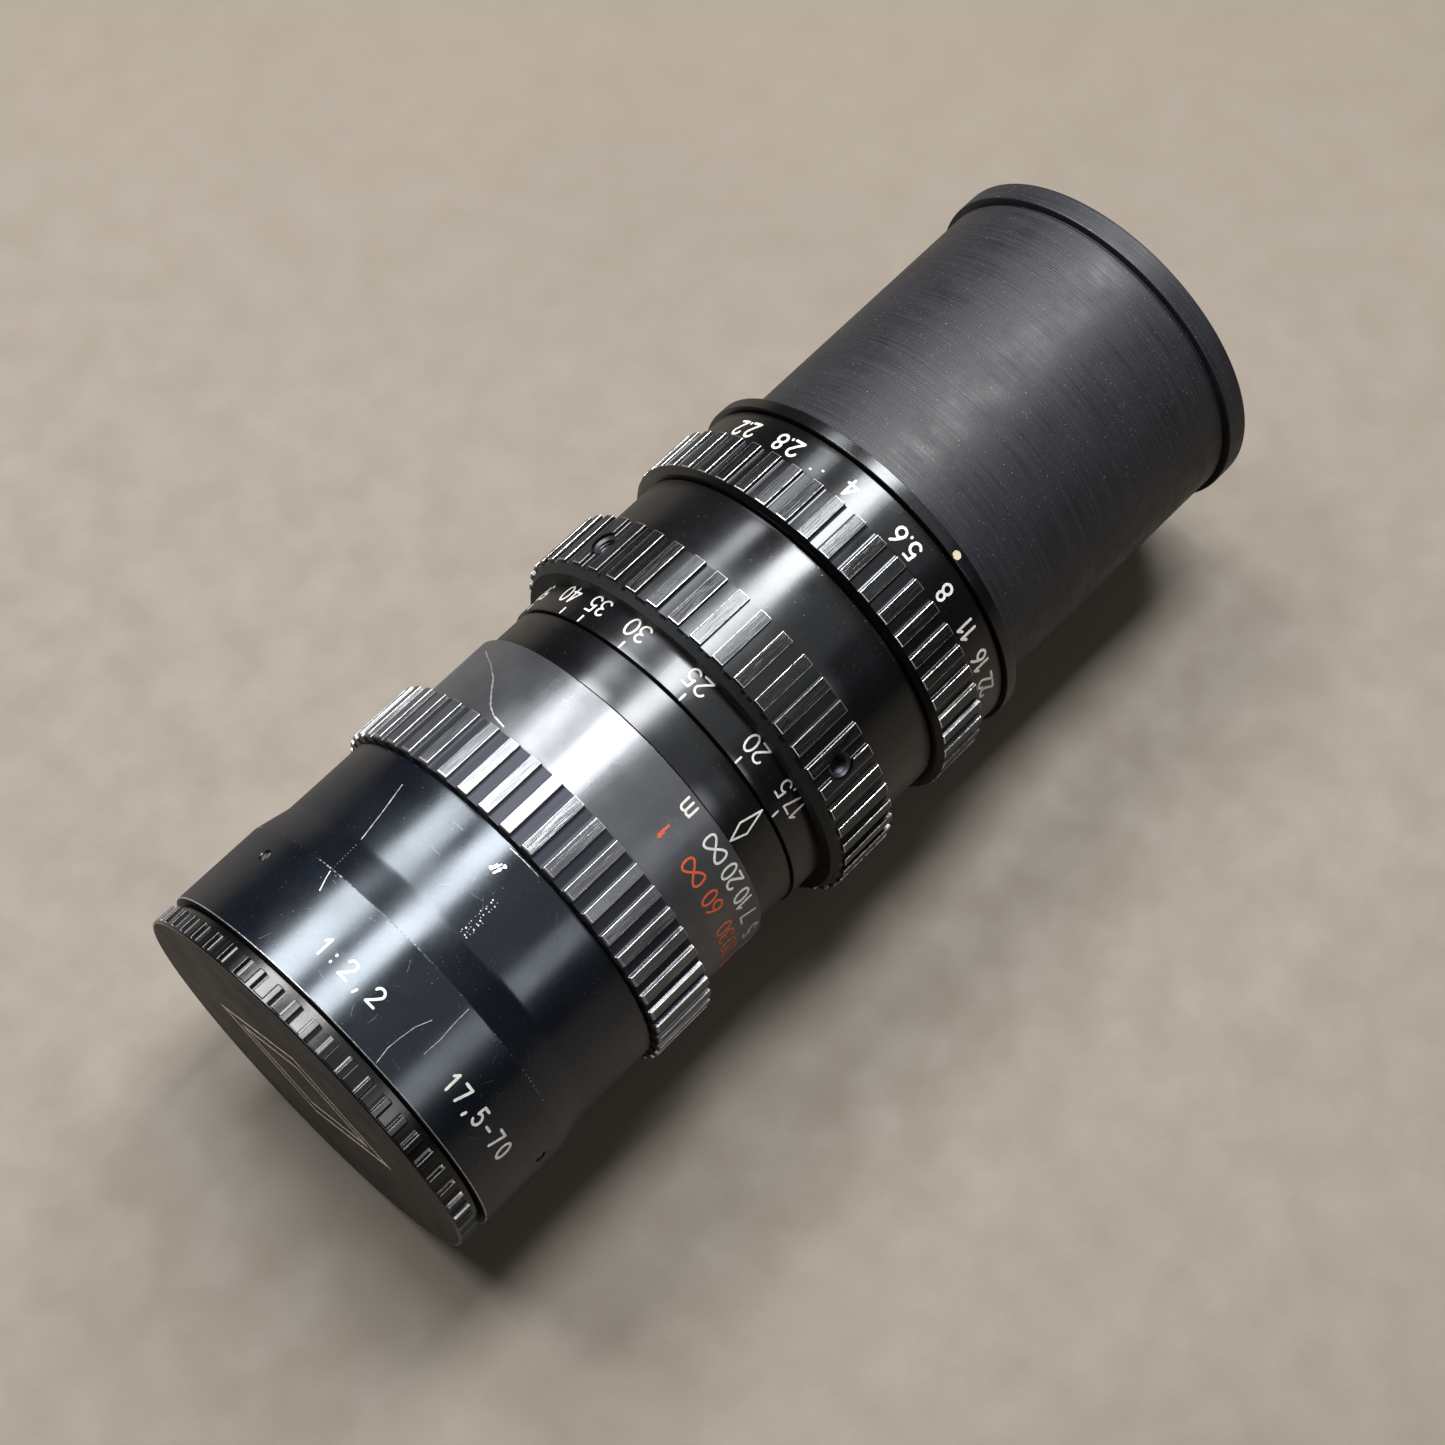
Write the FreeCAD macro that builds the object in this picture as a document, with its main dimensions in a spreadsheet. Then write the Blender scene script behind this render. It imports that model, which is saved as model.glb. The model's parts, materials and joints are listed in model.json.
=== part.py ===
import FreeCAD, Part
import PartDesign
import Sketcher
import math
import os
import re

# A 17.5-70 mm zoom lens for a 16 mm cine camera, lying on its side with both caps on.
# Sizes are in millimetres and degrees. A station is a distance along the lens axis, measured
# from the outer face of the front cap towards the camera. A ring angle turns about the axis
# from the side of the lens (0) over the top (90).

Vector = FreeCAD.Vector
Rotation = FreeCAD.Rotation
AXIS = Vector(1, 0, 0)

doc = FreeCAD.newDocument("CineZoomLens")
sheet = doc.addObject("Spreadsheet::Sheet", "Sizes")

SIZES = {
    # the whole lens
    "overall_length": "175.5",
    "axis_height": "33.3",
    "running_gap": "0.1",
    "seat_gap": "0.04",
    "end_gap": "0.3",
    "tool_clear": "1",
    # front cap
    "cap_radius": "31.8",
    "cap_face_chamfer": "0.5",
    "cap_rim_end": "3.4",
    "cap_neck_radius": "30.6",
    "cap_spigot_end": "8.6",
    "cap_spigot_wall": "2",
    "cap_wall": "2.4",
    "cap_window_start": "0.9",
    "cap_window_depth": "0.5",
    "cap_window_width": "2.6",
    "cap_window_count": "56",
    "cap_window_angle": "6.2",
    # front barrel and its glass
    "barrel_front": "4.8",
    "rim_radius": "32",
    "filter_thread_radius": "29.5",
    "filter_thread_end": "9.8",
    "cone_front": "19.75",
    "cone_rear": "25.3",
    "waist_radius": "30.9",
    "barrel_rear": "39.2",
    "barrel_bore": "28.54",
    "barrel_web_front": "37.2",
    "helicoid_radius": "26.5",
    "helicoid_bore": "25",
    "helicoid_end": "61",
    "grub_station": "15.85",
    "grub_radius": "0.9",
    "grub_sink": "0.3",
    "cell_front": "11.5",
    "cell_rear": "33",
    "outer_element_radius": "26",
    "outer_element_vertex": "11.8",
    "outer_element_thickness": "6.5",
    "outer_element_front_curve": "62",
    "outer_element_rear_curve": "120",
    "inner_element_radius": "25.5",
    "inner_element_vertex": "22.4",
    "inner_element_thickness": "7",
    "inner_element_front_curve": "90",
    "inner_element_rear_curve": "200",
    "cell_shoulder_front": "21.3",
    "cell_shoulder_rear": "25.5",
    "cell_shoulder_radius": "24.4",
    "front_retainer_front": "28",
    "front_retainer_rear": "31.5",
    "front_retainer_bore": "24",
    # focusing ring
    "focus_front": "=barrel_rear + end_gap + 0.05",
    "focus_knurl_rear": "50.1",
    "focus_radius": "32.5",
    "focus_chamfer": "0.5",
    "skirt_rear": "63.65",
    "skirt_radius": "29.8",
    "skirt_bore": "28.4",
    "focus_flute_angle": "2.75",
    "flute_count": "48",
    "flute_width": "2.25",
    "flute_depth": "0.7",
    # fixed index barrel
    "index_front": "50.4",
    "index_shoulder": "63.95",
    "index_rear": "70.95",
    "index_radius": "28.9",
    "index_thread_front": "62.2",
    "index_thread_radius": "27",
    "key_front": "52",
    "key_length": "6",
    "key_width": "4",
    "key_inner": "25.2",
    "key_slot_front": "45",
    # zoom ring
    "zoom_front": "71.25",
    "zoom_scale_radius": "29.35",
    "zoom_flange_front": "76.8",
    "zoom_flange_radius": "31.6",
    "zoom_knurl_front": "78.2",
    "zoom_knurl_rear": "88.45",
    "zoom_knurl_radius": "33.3",
    "zoom_bore": "27.7",
    "zoom_flute_angle": "1.05",
    "lever_station": "83.1",
    "lever_angle_left": "144.5",
    "lever_angle_right": "52.1",
    "lever_thread_radius": "1.65",
    "lever_countersink_radius": "2.65",
    "lever_countersink_depth": "1",
    "zoom_pin_station": "84",
    "zoom_pin_radius": "1.5",
    "zoom_pin_inner": "24.6",
    "zoom_pin_outer": "30.5",
    "zoom_turn_low": "-4",
    "zoom_turn_high": "146",
    # main barrel and guide tube
    "main_front": "62.4",
    "main_bore": "26.1",
    "main_step": "71.2",
    "main_middle_front": "88.8",
    "main_middle_rear": "100.4",
    "main_middle_radius": "30.4",
    "main_rear": "118.3",
    "main_rear_radius": "28",
    "slot_slack": "4",
    "guide_front": "40.5",
    "guide_flange_front": "105.4",
    "guide_rear": "106.9",
    "guide_radius": "24.2",
    "guide_bore": "22.6",
    "guide_slot_width": "2.1",
    # cam sleeve
    "cam_front": "66",
    "cam_rear": "105",
    "cam_bore": "24.3",
    "cam_slot_width": "2.14",
    "cam_run_out": "3",
    # variator
    "variator_front": "41.5",
    "variator_rear": "71",
    "variator_bore": "20.5",
    "variator_shoulder_front": "51.6",
    "variator_shoulder_rear": "53.5",
    "variator_shoulder_radius": "18.5",
    "variator_lens_radius": "20",
    "variator_lens_vertex": "46",
    "variator_lens_thickness": "2",
    "variator_lens_curve": "60",
    "variator_pin_station": "69",
    "variator_pin_angle": "45",
    "variator_travel_per_degree": "=20 / 150",
    "follower_radius": "1",
    "follower_outer": "25.9",
    "follower_seat": "1.4",
    "variator_slot_front": "67.2",
    "variator_slot_rear": "90.2",
    # compensator
    "compensator_front": "93.5",
    "compensator_rear": "100.5",
    "compensator_lens_radius": "16",
    "compensator_lens_vertex": "97",
    "compensator_lens_thickness": "2",
    "compensator_lens_curve": "50",
    "compensator_shoulder_front": "99.1",
    "compensator_shoulder_radius": "14.8",
    "compensator_pin_station": "97",
    "compensator_pin_angle": "135",
    "compensator_travel_per_degree": "=5 / 150",
    "compensator_slot_front": "95.6",
    "compensator_slot_rear": "103.2",
    # aperture ring
    "aperture_front": "100.7",
    "aperture_flange_radius": "31.2",
    "aperture_knurl_front": "101.3",
    "aperture_knurl_rear": "109.45",
    "aperture_knurl_radius": "32.55",
    "aperture_scale_radius": "31",
    "aperture_rear": "116",
    "aperture_bore": "28.1",
    "aperture_flute_angle": "7.2",
    "aperture_turn_low": "-42.5",
    "aperture_turn_high": "74.1",
    "aperture_pin_station": "112",
    "aperture_pin_radius": "1",
    "aperture_pin_inner": "24.4",
    "aperture_pin_outer": "30",
    # iris
    "iris_opening": "10.2",
    "iris_base_front": "107.2",
    "iris_base_rear": "108.6",
    "iris_first_blade": "108.9",
    "iris_blade_pitch": "0.2",
    "iris_blade_thickness": "0.08",
    "iris_blade_inner": "9.8",
    "iris_blade_outer": "14.8",
    "iris_blade_span": "112",
    "iris_blade_tail": "10",
    "iris_pivot_circle": "17.5",
    "iris_pivot_radius": "0.6",
    "iris_pin_short": "0.2",
    "iris_arm": "8",
    "iris_arm_angle": "60",
    "iris_arm_half_width": "1.3",
    "iris_drive_radius": "0.35",
    "iris_close_angle": "29.1",
    "scroll_front": "110.4",
    "scroll_run_out": "1",
    "scroll_plate_rear": "111.6",
    "scroll_rim_rear": "113.4",
    "scroll_rim_bore": "23.9",
    "iris_retainer_front": "113.8",
    "iris_retainer_rear": "114.8",
    # rear index ring and rear barrel
    "rear_index_front": "116.3",
    "rear_index_radius": "31.85",
    "rear_barrel_front": "114.9",
    "rear_barrel_bore": "22",
    "cap_seat_front": "118.4",
    "cap_seat_rear": "127",
    "cap_seat_radius": "26.9",
    "rear_barrel_radius": "24",
    "rear_cone_front": "142",
    "rear_cone_rear": "150",
    "rear_neck_radius": "18",
    "rear_barrel_rear": "156",
    "rear_neck_bore": "14.2",
    "rear_bore_end": "140",
    # prime lens group and camera mount
    "relay_cell_front": "116",
    "relay_cell_rear": "137",
    "relay_lens_radius": "13",
    "relay_lens_thickness": "7",
    "relay_lens_curve": "30",
    "relay_first_vertex": "118",
    "relay_second_vertex": "127",
    "relay_shoulder_front": "135.6",
    "relay_shoulder_radius": "11.5",
    "mount_spigot_front": "150",
    "mount_flange_front": "156.1",
    "mount_flange_rear": "159",
    "mount_flange_radius": "17",
    "mount_thread_radius": "12.7",
    "mount_thread_rear": "163",
    "mount_bore": "10.1",
    "field_lens_radius": "10",
    "field_lens_vertex": "156.5",
    "field_lens_thickness": "4",
    "field_lens_curve": "40",
    # rear cap
    "rear_cap_front": "118.65",
    "rear_cap_front_radius": "28.9",
    "rear_cap_rear_radius": "29.2",
    "rear_cap_bore": "27",
    "rear_cap_groove_front": "170.9",
    "rear_cap_groove_radius": "28.75",
    "rear_cap_flange_front": "171.6",
    "rear_cap_flange_radius": "30.25",
    "rear_cap_edge": "0.3",
    "rear_cap_floor": "172.9",
}

for row, (name, value) in enumerate(SIZES.items(), start=1):
    sheet.set(f"A{row}", name)
    sheet.set(f"B{row}", value)
    sheet.setAlias(f"B{row}", name)
doc.recompute()

BLADE_COUNT = 6
SCROLL_STEPS = 40
GRUB_ANGLES = {"right": 50.5, "left": 179.5, "lower": 295}

finished = []


def bound(text):
    """The expression with every size name pointing at the sheet."""
    return re.sub(r"[a-z_]+", lambda m: f"Sizes.{m[0]}" if m[0] in SIZES else m[0], str(text))


def size(text):
    """The number that an expression gives now."""
    return float(sheet.evalExpression(str(text)))


def in_place(thing):
    """Moves a piece drawn in stations onto the lens axis in the part's frame."""
    drawn = thing.Placement.Base
    thing.setExpression("Placement.Base.x", bound(f"{drawn.x:.9f} - overall_length / 2"))
    thing.setExpression("Placement.Base.z", bound(f"{drawn.z:.9f} + axis_height"))


def origin_plane(body, role):
    return next(feature for feature in body.Origin.OriginFeatures if feature.Role == role)


def closed_outline(sketch, corners):
    """A closed run of straight lines whose corners are held by sizes in the sheet."""
    points = [Vector(size(across), size(up), 0) for across, up in corners]
    count = len(points)
    for index in range(count):
        sketch.addGeometry(Part.LineSegment(points[index], points[(index + 1) % count]), False)
    for index in range(count):
        sketch.addConstraint(Sketcher.Constraint("Coincident", index, 2, (index + 1) % count, 1))
    for index, pair in enumerate(corners):
        for kind, text, axis in (("DistanceX", pair[0], -2), ("DistanceY", pair[1], -1)):
            if str(text) == "0":
                sketch.addConstraint(Sketcher.Constraint("PointOnObject", index, 1, axis))
                continue
            number = sketch.addConstraint(Sketcher.Constraint(kind, -1, 1, index, 1, size(text)))
            sketch.setExpression(f"Constraints[{number}]", bound(text))


def turned(name, corners):
    """A turned piece: (station, radius) corners swept once round the lens axis."""
    body = doc.addObject("PartDesign::Body", name)
    sketch = body.newObject("Sketcher::SketchObject", name + "_outline")
    sketch.AttachmentSupport = [(origin_plane(body, "XY_Plane"), "")]
    sketch.MapMode = "FlatFace"
    closed_outline(sketch, corners)
    turn = body.newObject("PartDesign::Revolution", name + "_turn")
    turn.Profile = sketch
    turn.ReferenceAxis = (sketch, ["H_Axis"])
    turn.Angle = 360
    in_place(body)
    doc.recompute()
    return body


def flute(body, front, rear, radius, depth, width, count, angle):
    """Cuts straight flutes from the front station to the rear one, all round the ring."""
    before = body.Shape.Volume
    sketch = body.newObject("Sketcher::SketchObject", body.Name + "_flute")
    sketch.AttachmentSupport = [(origin_plane(body, "YZ_Plane"), "")]
    sketch.MapMode = "FlatFace"
    sketch.AttachmentOffset = FreeCAD.Placement(Vector(), Rotation(Vector(0, 0, 1), size(angle)))
    sketch.setExpression("AttachmentOffset.Base.z", bound(front))
    floor = f"{radius} - {depth}"
    top = f"{radius} + {depth}"
    closed_outline(sketch, [(floor, f"-{width} / 2"), (top, f"-{width} / 2"),
                            (top, f"{width} / 2"), (floor, f"{width} / 2")])
    pocket = body.newObject("PartDesign::Pocket", body.Name + "_flute_cut")
    pocket.Profile = sketch
    pocket.setExpression("Length", bound(f"{rear} - {front}"))
    pocket.Reversed = True
    doc.recompute()
    if not body.Shape.Volume < before:
        raise RuntimeError(f"the flute of {body.Name} cuts nothing")
    pattern = body.newObject("PartDesign::PolarPattern", body.Name + "_flutes")
    pattern.Originals = [pocket]
    pattern.Axis = (sketch, ["N_Axis"])
    pattern.Angle = 360
    pattern.setExpression("Occurrences", bound(count))
    body.Tip = pattern
    doc.recompute()


def radial_rod(name, station, angle, inner, outer, radius):
    """A round rod that points straight out from the lens axis."""
    rod = doc.addObject("Part::Cylinder", name)
    rod.Placement = FreeCAD.Placement(Vector(), Rotation(AXIS, size(angle) - 90))
    rod.setExpression("Radius", bound(radius))
    rod.setExpression("Height", bound(f"({outer}) - ({inner})"))
    rod.setExpression("Placement.Base.x", bound(f"{station} - overall_length / 2"))
    rod.setExpression("Placement.Base.y", bound(f"({inner}) * cos({angle})"))
    rod.setExpression("Placement.Base.z", bound(f"axis_height + ({inner}) * sin({angle})"))
    return rod


def radial_countersink(name, station, angle, surface, depth, narrow, wide):
    """The cone that widens a radial hole where it meets the surface."""
    cone = doc.addObject("Part::Cone", name)
    cone.Placement = FreeCAD.Placement(Vector(), Rotation(AXIS, size(angle) - 90))
    start = f"({surface} - {depth})"
    cone.setExpression("Radius1", bound(narrow))
    cone.setExpression("Radius2", bound(f"{wide} + ({wide} - {narrow})"))
    cone.setExpression("Height", bound(f"2 * {depth}"))
    cone.setExpression("Placement.Base.x", bound(f"{station} - overall_length / 2"))
    cone.setExpression("Placement.Base.y", bound(f"{start} * cos({angle})"))
    cone.setExpression("Placement.Base.z", bound(f"axis_height + {start} * sin({angle})"))
    return cone


def arc_slot(name, station, width, low, high, radius):
    """A wedge whose arc cuts a slot round a thin wall, from one ring angle to another."""
    wedge = doc.addObject("Part::Cylinder", name)
    aim = Rotation(AXIS, size(low) + 90).multiply(Rotation(Vector(0, 1, 0), 90))
    wedge.Placement = FreeCAD.Placement(Vector(), aim)
    wedge.setExpression("Radius", bound(radius))
    wedge.setExpression("Height", bound(width))
    wedge.setExpression("Angle", bound(f"({high}) - ({low})"))
    wedge.setExpression("Placement.Base.x", bound(f"{station} - {width} / 2 - overall_length / 2"))
    wedge.setExpression("Placement.Base.z", bound("axis_height"))
    return wedge


def cross_bar(name, front, rear, width, reach, angle):
    """A bar across the whole lens that cuts two opposite straight slots."""
    bar = doc.addObject("Part::Box", name)
    bar.Placement = FreeCAD.Placement(Vector(), Rotation(AXIS, size(angle)))
    bar.setExpression("Length", bound(f"{rear} - {front}"))
    bar.setExpression("Width", bound(f"2 * {reach}"))
    bar.setExpression("Height", bound(width))
    side = f"(-{reach})"
    drop = f"(-{width} / 2)"
    bar.setExpression("Placement.Base.x", bound(f"{front} - overall_length / 2"))
    bar.setExpression("Placement.Base.y", bound(f"{side} * cos({angle}) - {drop} * sin({angle})"))
    bar.setExpression(
        "Placement.Base.z", bound(f"axis_height + {side} * sin({angle}) + {drop} * cos({angle})"))
    return bar


def cut(name, base, tools):
    """The base with every tool taken out of it."""
    joined = tools[0]
    if len(tools) > 1:
        joined = doc.addObject("Part::MultiFuse", name + "_tools")
        joined.Shapes = tools
    result = doc.addObject("Part::Cut", name)
    result.Base = base
    result.Tool = joined
    return result


def finish(name, thing):
    """Names a sub-part and keeps it for writing out."""
    thing.Label = name
    finished.append(thing)


def lens_element(name, vertex, thickness, radius, front_curve, rear_curve):
    """A glass element. A positive curve bulges outwards, a negative one is hollow, 0 is flat."""
    def sag(curve):
        if curve == "0":
            return "0"
        plain = curve.lstrip("-")
        return f"({plain} - sqrt({plain} ^ 2 - {radius} ^ 2))"

    hollow_front = front_curve.startswith("-")
    hollow_rear = rear_curve.startswith("-")
    start = f"{vertex} - {sag(front_curve)}" if hollow_front else vertex
    end = f"{vertex} + {thickness}"
    end = f"{end} + {sag(rear_curve)}" if hollow_rear else end
    blank = doc.addObject("Part::Cylinder", name + "_blank")
    blank.Placement = FreeCAD.Placement(Vector(), Rotation(Vector(0, 1, 0), 90))
    blank.setExpression("Radius", bound(radius))
    blank.setExpression("Height", bound(f"({end}) - ({start})"))
    blank.setExpression("Placement.Base.x", bound(f"({start}) - overall_length / 2"))
    blank.setExpression("Placement.Base.z", bound("axis_height"))
    shape = blank
    surfaces = (("front", front_curve, vertex, 1), ("rear", rear_curve, f"{vertex} + {thickness}", -1))
    for side, curve, where, inwards in surfaces:
        if curve == "0":
            continue
        hollow = curve.startswith("-")
        plain = curve.lstrip("-")
        ball = doc.addObject("Part::Sphere", f"{name}_{side}_ball")
        ball.setExpression("Radius", bound(plain))
        away = -inwards if hollow else inwards
        centre = f"{where} + ({away}) * {plain} - overall_length / 2"
        ball.setExpression("Placement.Base.x", bound(centre))
        ball.setExpression("Placement.Base.z", bound("axis_height"))
        kind = "Part::Cut" if hollow else "Part::Common"
        ground = doc.addObject(kind, f"{name}_{side}_ground")
        ground.Base = shape
        ground.Tool = ball
        shape = ground
    finish(name, shape)


# ---- front cap, front barrel and the glass that moves with it ------------------------------

def front_cap():
    body = turned("front_cap_turned", [
        ("0", "0"),
        ("0", "cap_radius - cap_face_chamfer"),
        ("cap_face_chamfer", "cap_radius"),
        ("cap_rim_end", "cap_radius"),
        ("cap_rim_end", "cap_neck_radius"),
        ("barrel_front - end_gap", "cap_neck_radius"),
        ("barrel_front - end_gap", "filter_thread_radius - running_gap"),
        ("cap_spigot_end", "filter_thread_radius - running_gap"),
        ("cap_spigot_end", "filter_thread_radius - cap_spigot_wall"),
        ("cap_wall", "filter_thread_radius - cap_spigot_wall"),
        ("cap_wall", "0"),
    ])
    flute(body, "cap_window_start", "cap_rim_end", "cap_radius", "cap_window_depth",
          "cap_window_width", "cap_window_count", "cap_window_angle")
    finish("front_cap", body)


def front_barrel():
    body = turned("front_barrel_turned", [
        ("barrel_front", "filter_thread_radius"),
        ("barrel_front", "rim_radius"),
        ("cone_front", "rim_radius"),
        ("cone_rear", "waist_radius"),
        ("barrel_rear", "waist_radius"),
        ("barrel_rear", "helicoid_radius"),
        ("helicoid_end", "helicoid_radius"),
        ("helicoid_end", "helicoid_bore"),
        ("barrel_web_front", "helicoid_bore"),
        ("barrel_web_front", "barrel_bore"),
        ("filter_thread_end", "barrel_bore"),
        ("filter_thread_end", "filter_thread_radius"),
    ])
    tools = [
        radial_rod(f"grub_hole_{angle}", "grub_station", angle, "barrel_bore - tool_clear",
                   "rim_radius + tool_clear", "grub_radius + seat_gap")
        for angle in GRUB_ANGLES.values()
    ]
    slot = doc.addObject("Part::Box", "key_slot")
    slot.setExpression("Length", bound("helicoid_end - key_slot_front + tool_clear"))
    slot.setExpression("Width", bound("helicoid_radius"))
    slot.setExpression("Height", bound("key_width + running_gap"))
    slot.setExpression("Placement.Base.x", bound("key_slot_front - overall_length / 2"))
    slot.setExpression("Placement.Base.z", bound("axis_height - (key_width + running_gap) / 2"))
    finish("front_barrel", cut("front_barrel_cut", body, tools + [slot]))


def front_set_screws():
    for word, angle in GRUB_ANGLES.items():
        screw = radial_rod(f"set_screw_{word}", "grub_station", angle, "barrel_bore + seat_gap",
                           "rim_radius - grub_sink", "grub_radius")
        finish(f"front_set_screw_{word}", screw)


def front_cell():
    finish("front_cell", turned("front_cell_turned", [
        ("cell_front", "outer_element_radius + seat_gap"),
        ("cell_front", "barrel_bore - seat_gap"),
        ("cell_rear", "barrel_bore - seat_gap"),
        ("cell_rear", "inner_element_radius + seat_gap"),
        ("cell_shoulder_rear", "inner_element_radius + seat_gap"),
        ("cell_shoulder_rear", "cell_shoulder_radius"),
        ("cell_shoulder_front", "cell_shoulder_radius"),
        ("cell_shoulder_front", "outer_element_radius + seat_gap"),
    ]))


def front_glass():
    lens_element("front_outer_element", "outer_element_vertex", "outer_element_thickness",
                 "outer_element_radius", "outer_element_front_curve", "-outer_element_rear_curve")
    lens_element("front_inner_element", "inner_element_vertex", "inner_element_thickness",
                 "inner_element_radius", "inner_element_front_curve", "inner_element_rear_curve")
    finish("front_retainer", turned("front_retainer_turned", [
        ("front_retainer_front", "front_retainer_bore"),
        ("front_retainer_front", "inner_element_radius"),
        ("front_retainer_rear", "inner_element_radius"),
        ("front_retainer_rear", "front_retainer_bore"),
    ]))


# ---- focusing ring and the fixed barrels ---------------------------------------------------

def focus_ring():
    body = turned("focus_ring_turned", [
        ("focus_front", "helicoid_radius + running_gap"),
        ("focus_front", "focus_radius - focus_chamfer"),
        ("focus_front + focus_chamfer", "focus_radius"),
        ("focus_knurl_rear", "focus_radius"),
        ("focus_knurl_rear", "skirt_radius"),
        ("skirt_rear", "skirt_radius"),
        ("skirt_rear", "skirt_bore"),
        ("index_front - end_gap", "skirt_bore"),
        ("index_front - end_gap", "helicoid_radius + running_gap"),
    ])
    flute(body, "focus_front", "focus_knurl_rear", "focus_radius", "flute_depth",
          "flute_width", "flute_count", "focus_flute_angle")
    finish("focus_ring", body)


def key_block(name, width):
    """The key that stops the front barrel from turning, as a block on the side of the lens."""
    block = doc.addObject("Part::Box", name)
    block.setExpression("Length", bound("key_length"))
    block.setExpression("Width", bound("skirt_bore - running_gap - key_inner"))
    block.setExpression("Height", bound(width))
    block.setExpression("Placement.Base.x", bound("key_front - overall_length / 2"))
    block.setExpression("Placement.Base.y", bound("key_inner"))
    block.setExpression("Placement.Base.z", bound(f"axis_height - ({width}) / 2"))
    return block


def index_barrel():
    body = turned("index_barrel_turned", [
        ("index_front", "helicoid_radius + running_gap"),
        ("index_front", "skirt_bore - running_gap"),
        ("index_shoulder", "skirt_bore - running_gap"),
        ("index_shoulder", "index_radius"),
        ("index_rear", "index_radius"),
        ("index_rear", "index_thread_radius"),
        ("index_thread_front", "index_thread_radius"),
        ("index_thread_front", "helicoid_radius + running_gap"),
    ])
    seat = doc.addObject("Part::Box", "key_seat")
    seat.setExpression("Length", bound("key_length"))
    seat.setExpression("Width", bound("index_radius"))
    seat.setExpression("Height", bound("key_width"))
    seat.setExpression("Placement.Base.x", bound("key_front - overall_length / 2"))
    seat.setExpression("Placement.Base.z", bound("axis_height - key_width / 2"))
    finish("index_barrel", cut("index_barrel_cut", body, [seat]))
    round_blank = turned("focus_key_blank", [
        ("key_front", "key_inner"),
        ("key_front", "skirt_bore - running_gap"),
        ("key_front + key_length", "skirt_bore - running_gap"),
        ("key_front + key_length", "key_inner"),
    ])
    key = doc.addObject("Part::Common", "focus_key_cut")
    key.Base = round_blank
    key.Tool = key_block("focus_key_block", "key_width")
    finish("focus_key", key)


def main_barrel():
    body = turned("main_barrel_turned", [
        ("main_front", "main_bore"),
        ("main_front", "index_thread_radius - seat_gap"),
        ("main_step", "index_thread_radius - seat_gap"),
        ("main_step", "zoom_bore - running_gap"),
        ("main_middle_front", "zoom_bore - running_gap"),
        ("main_middle_front", "main_middle_radius"),
        ("main_middle_rear", "main_middle_radius"),
        ("main_middle_rear", "main_rear_radius"),
        ("main_rear", "main_rear_radius"),
        ("main_rear", "main_bore"),
    ])
    tools = []
    for turn in (0, 180):
        tools.append(arc_slot(
            f"zoom_slot_{turn}", "zoom_pin_station", "2 * (zoom_pin_radius + running_gap)",
            f"{turn} + zoom_turn_low - slot_slack", f"{turn} + zoom_turn_high + slot_slack",
            "main_rear_radius"))
        tools.append(arc_slot(
            f"aperture_slot_{turn}", "aperture_pin_station",
            "2 * (aperture_pin_radius + running_gap)",
            f"{turn} + aperture_turn_low - slot_slack",
            f"{turn} + aperture_turn_high + slot_slack", "main_rear_radius + tool_clear"))
    finish("main_barrel", cut("main_barrel_cut", body, tools))


def guide_tube():
    body = turned("guide_tube_turned", [
        ("guide_front", "guide_bore"),
        ("guide_front", "guide_radius"),
        ("guide_flange_front", "guide_radius"),
        ("guide_flange_front", "main_bore - seat_gap"),
        ("guide_rear", "main_bore - seat_gap"),
        ("guide_rear", "guide_bore"),
    ])
    variator_bar = cross_bar("variator_slot", "variator_slot_front", "variator_slot_rear",
                             "guide_slot_width", "main_bore", "variator_pin_angle")
    compensator_bar = cross_bar("compensator_slot", "compensator_slot_front",
                                "compensator_slot_rear", "guide_slot_width", "guide_radius",
                                "compensator_pin_angle")
    finish("guide_tube", cut("guide_tube_cut", body, [variator_bar, compensator_bar]))


# ---- zoom ring, cam sleeve and the two groups they move ------------------------------------

def zoom_ring():
    body = turned("zoom_ring_turned", [
        ("zoom_front", "zoom_bore"),
        ("zoom_front", "zoom_scale_radius"),
        ("zoom_flange_front", "zoom_scale_radius"),
        ("zoom_flange_front", "zoom_flange_radius"),
        ("zoom_knurl_front", "zoom_knurl_radius - flute_depth"),
        ("zoom_knurl_front", "zoom_knurl_radius"),
        ("zoom_knurl_rear", "zoom_knurl_radius"),
        ("zoom_knurl_rear", "zoom_bore"),
    ])
    flute(body, "zoom_knurl_front", "zoom_knurl_rear", "zoom_knurl_radius", "flute_depth",
          "flute_width", "flute_count", "zoom_flute_angle")
    tools = []
    for side in ("left", "right"):
        tools.append(radial_rod(f"lever_hole_{side}", "lever_station", f"lever_angle_{side}",
                                "zoom_bore - tool_clear", "zoom_knurl_radius + tool_clear",
                                "lever_thread_radius"))
        tools.append(radial_countersink(
            f"lever_countersink_{side}", "lever_station", f"lever_angle_{side}",
            "zoom_knurl_radius", "lever_countersink_depth", "lever_thread_radius",
            "lever_countersink_radius"))
    for turn in (0, 180):
        tools.append(radial_rod(f"zoom_pin_hole_{turn}", "zoom_pin_station", turn,
                                "zoom_bore - tool_clear", "zoom_pin_outer + seat_gap",
                                "zoom_pin_radius + seat_gap"))
    finish("zoom_ring", cut("zoom_ring_cut", body, tools))


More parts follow.
